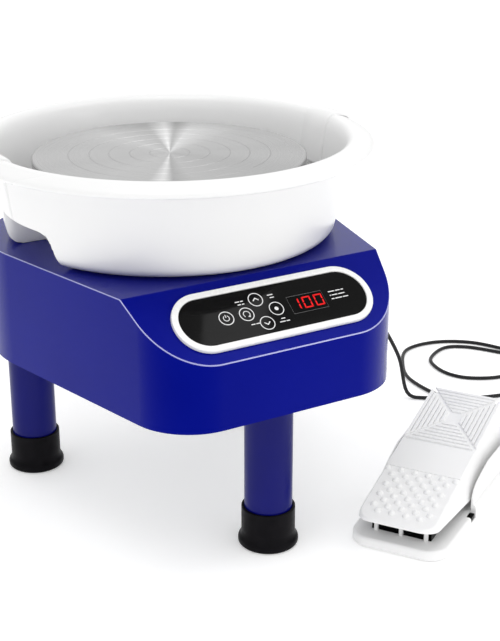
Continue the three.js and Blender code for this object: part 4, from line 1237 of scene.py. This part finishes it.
def build_treadle_body():
    """A shell open at the bottom: its ceiling, its skirts' lower edges, its sides and its top."""
    wall = TREADLE_WALL
    rings = [
        treadle_ring(wall, lambda x: treadle_top(x) - wall - 0.2),
        treadle_ring(wall, skirt_at, flared=True),
        treadle_ring(0.5, skirt_at, flared=True),
        treadle_ring(0, lambda x: skirt_at(x) + 0.5, flared=True),
    ]
    for turn in (0, 20, 40, 60, 80, 90):
        t = math.radians(turn)
        inset, drop = ROUNDING * (1 - math.cos(t)), ROUNDING * (1 - math.sin(t))
        rings.append(treadle_ring(inset, lambda x, d=drop: treadle_top(x) - d))
    treadle = pedal_piece("treadle", loft(rings), "pedal_treadle", ["pedal_treadle"])
    mouth = rounded_rectangle(-TOE_OPENING_HALF, 0, TOE_OPENING_HALF, TOE_OPENING_TOP, 2, 4)
    points, faces = prism(mouth, 0, TOE_OPENING_REACH)
    tool = mesh_from("toe_opening", [(z, x, y) for x, y, z in points], faces, place=pedal_put)
    carve(treadle, tool)
    weigh_normals(treadle)


def dome(x, y, radius, height, rings=4, steps=14):
    """A low dome standing on the treadle's slope."""
    layers = []
    for k in range(rings + 1):
        lift = k / rings
        r = radius * (0.12 if k == rings else math.sqrt(1 - lift**1.6))
        outline = arc((x, y), r, 0, 360 - 360 / steps, steps - 1)
        layers.append([(px, py, treadle_top(px) - SUNK + (height + SUNK) * lift) for px, py in outline])
    return loft(layers)


BUMP_ROWS = 9
BUMPS_IN_LAST_ROW = 6
BUMP_FIRST_X = 93.7
BUMP_PITCH_X, BUMP_PITCH_Y = 8.06, 14.5
BUMP_R, BUMP_H = 3.8, 2.8


def build_bumps():
    parts = []
    for row in range(BUMP_ROWS):
        columns = BUMPS_IN_LAST_ROW if row == 0 else 5 - (row + 1) % 2
        for k in range(columns):
            y = (k - (columns - 1) / 2) * BUMP_PITCH_Y
            parts.append(dome(BUMP_FIRST_X - row * BUMP_PITCH_X, y, BUMP_R, BUMP_H))
    pedal_piece("toe_bumps", together(parts), "pedal_treadle")


BAND_X = (98.2, 144.6)
BAND_HALF = 39.2
BAND_H = 0.9


def build_band():
    """The smooth raised band across the treadle, between the bumps and the ribs."""
    rings = []
    for inset, lift in ((0, -SUNK), (0, BAND_H - 0.3), (0.12, BAND_H - 0.08), (0.4, BAND_H)):
        x0, x1, half = BAND_X[0] + inset, BAND_X[1] - inset, BAND_HALF - inset
        rings.append([(x, y, treadle_top(x) + lift) for x, y in rectangle(x0, -half, x1, half)])
    pedal_piece("treadle_band", loft(rings), "pedal_treadle")


RIBBED_X = (146.4, 238.5)
RIBBED_HALF = 38.8
RIB_PITCH = 5.4
RIB_WIDTH = 3.7
RIB_H = 2.0
RIB_CHANNEL = 1.1


def rib_bar(start, stop):
    """A straight raised rib between two points with mitred ends, on the treadle's slope."""
    start, stop = np.array(start, float), np.array(stop, float)
    along = (stop - start) / np.linalg.norm(stop - start)
    side = np.array((-along[1], along[0])) * RIB_WIDTH / 2
    rings = []
    for inset, lift in ((0, -SUNK), (0, RIB_H - 0.5), (0.25, RIB_H - 0.12), (0.6, RIB_H)):
        half = 1 - inset / (RIB_WIDTH / 2)
        ring = []
        # The ends are cut at 45 degrees, so that the rib is shorter on its right side.
        for end, sign, back in ((start, -1, 1), (stop, -1, -1), (stop, 1, -1), (start, 1, 1)):
            inward = along * back * (inset - sign * RIB_WIDTH / 2 * half)
            point = end + side * sign * half + inward
            ring.append((*point, treadle_top(point[0]) + lift))
        rings.append(ring)
    return loft(rings)


def build_ribs():
    """Nested rectangles in four mitred sectors, with a narrow channel along the diagonals."""
    low, high = RIBBED_X
    gap = RIB_CHANNEL + RIB_WIDTH / 2
    parts = []
    for k in range(int(min((high - low) / 2, RIBBED_HALF) / RIB_PITCH)):
        inset = k * RIB_PITCH + RIB_WIDTH / 2
        x0, x1 = low + inset, high - inset
        half = RIBBED_HALF - inset * RIBBED_HALF / ((high - low) / 2)
        for start, stop in (
            ((x0, gap - half), (x0, half - gap)), ((x1, half - gap), (x1, gap - half)),
            ((x1 - gap, -half), (x0 + gap, -half)), ((x0 + gap, half), (x1 - gap, half)),
        ):
            parts.append(rib_bar(start, stop))
    pedal_piece("heel_ribs", together(parts), "pedal_treadle")


build_pedal_base()
build_treadle_body()
build_bumps()
build_band()
build_ribs()

# ---- everything else

# The machined pieces' edge rounding in mm. Only the hub adaptor turns; the rest ride on the root.
MACHINED = {
    "base_plate": 0.5, "hub_adaptor": 0.8, "power_inlet": 0.7, "fuse_drawer": 0.6,
    "motor_flange": 0.8, "motor_can": 0.8, "heat_sink": 0.4, "display_module": 0.3,
    "control_board": 0.2, "driver_board": 0.2,
}
SLOTS = {part["node"]: part["material_slot"] for part in frame["record"]["subparts"]}


def eased_copy(node, width, body):
    """A copy of a CAD node with flat faces merged and its edges rounded."""
    mesh = frame["nodes"][node].data.copy()
    work = bmesh.new()
    work.from_mesh(mesh)
    bmesh.ops.remove_doubles(work, verts=work.verts, dist=0.00001)
    bmesh.ops.dissolve_limit(work, angle_limit=math.radians(1), verts=work.verts, edges=work.edges)
    work.to_mesh(mesh)
    work.free()
    tidy(mesh)
    bevel(new_object(f"{node}_eased", mesh, SLOTS[node], body, [node]), width, 2, 40)


for node, width in MACHINED.items():
    eased_copy(node, width, "wheel" if node == "hub_adaptor" else "root")

for name, node in frame["nodes"].items():
    node.data.materials.clear()
    node.data.materials.append(FINISHES[SLOTS[name]])


def squash_spring():
    """Gives the pedal's spring a mesh of its own."""
    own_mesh(frame["nodes"]["pedal_spring"])


squash_spring()
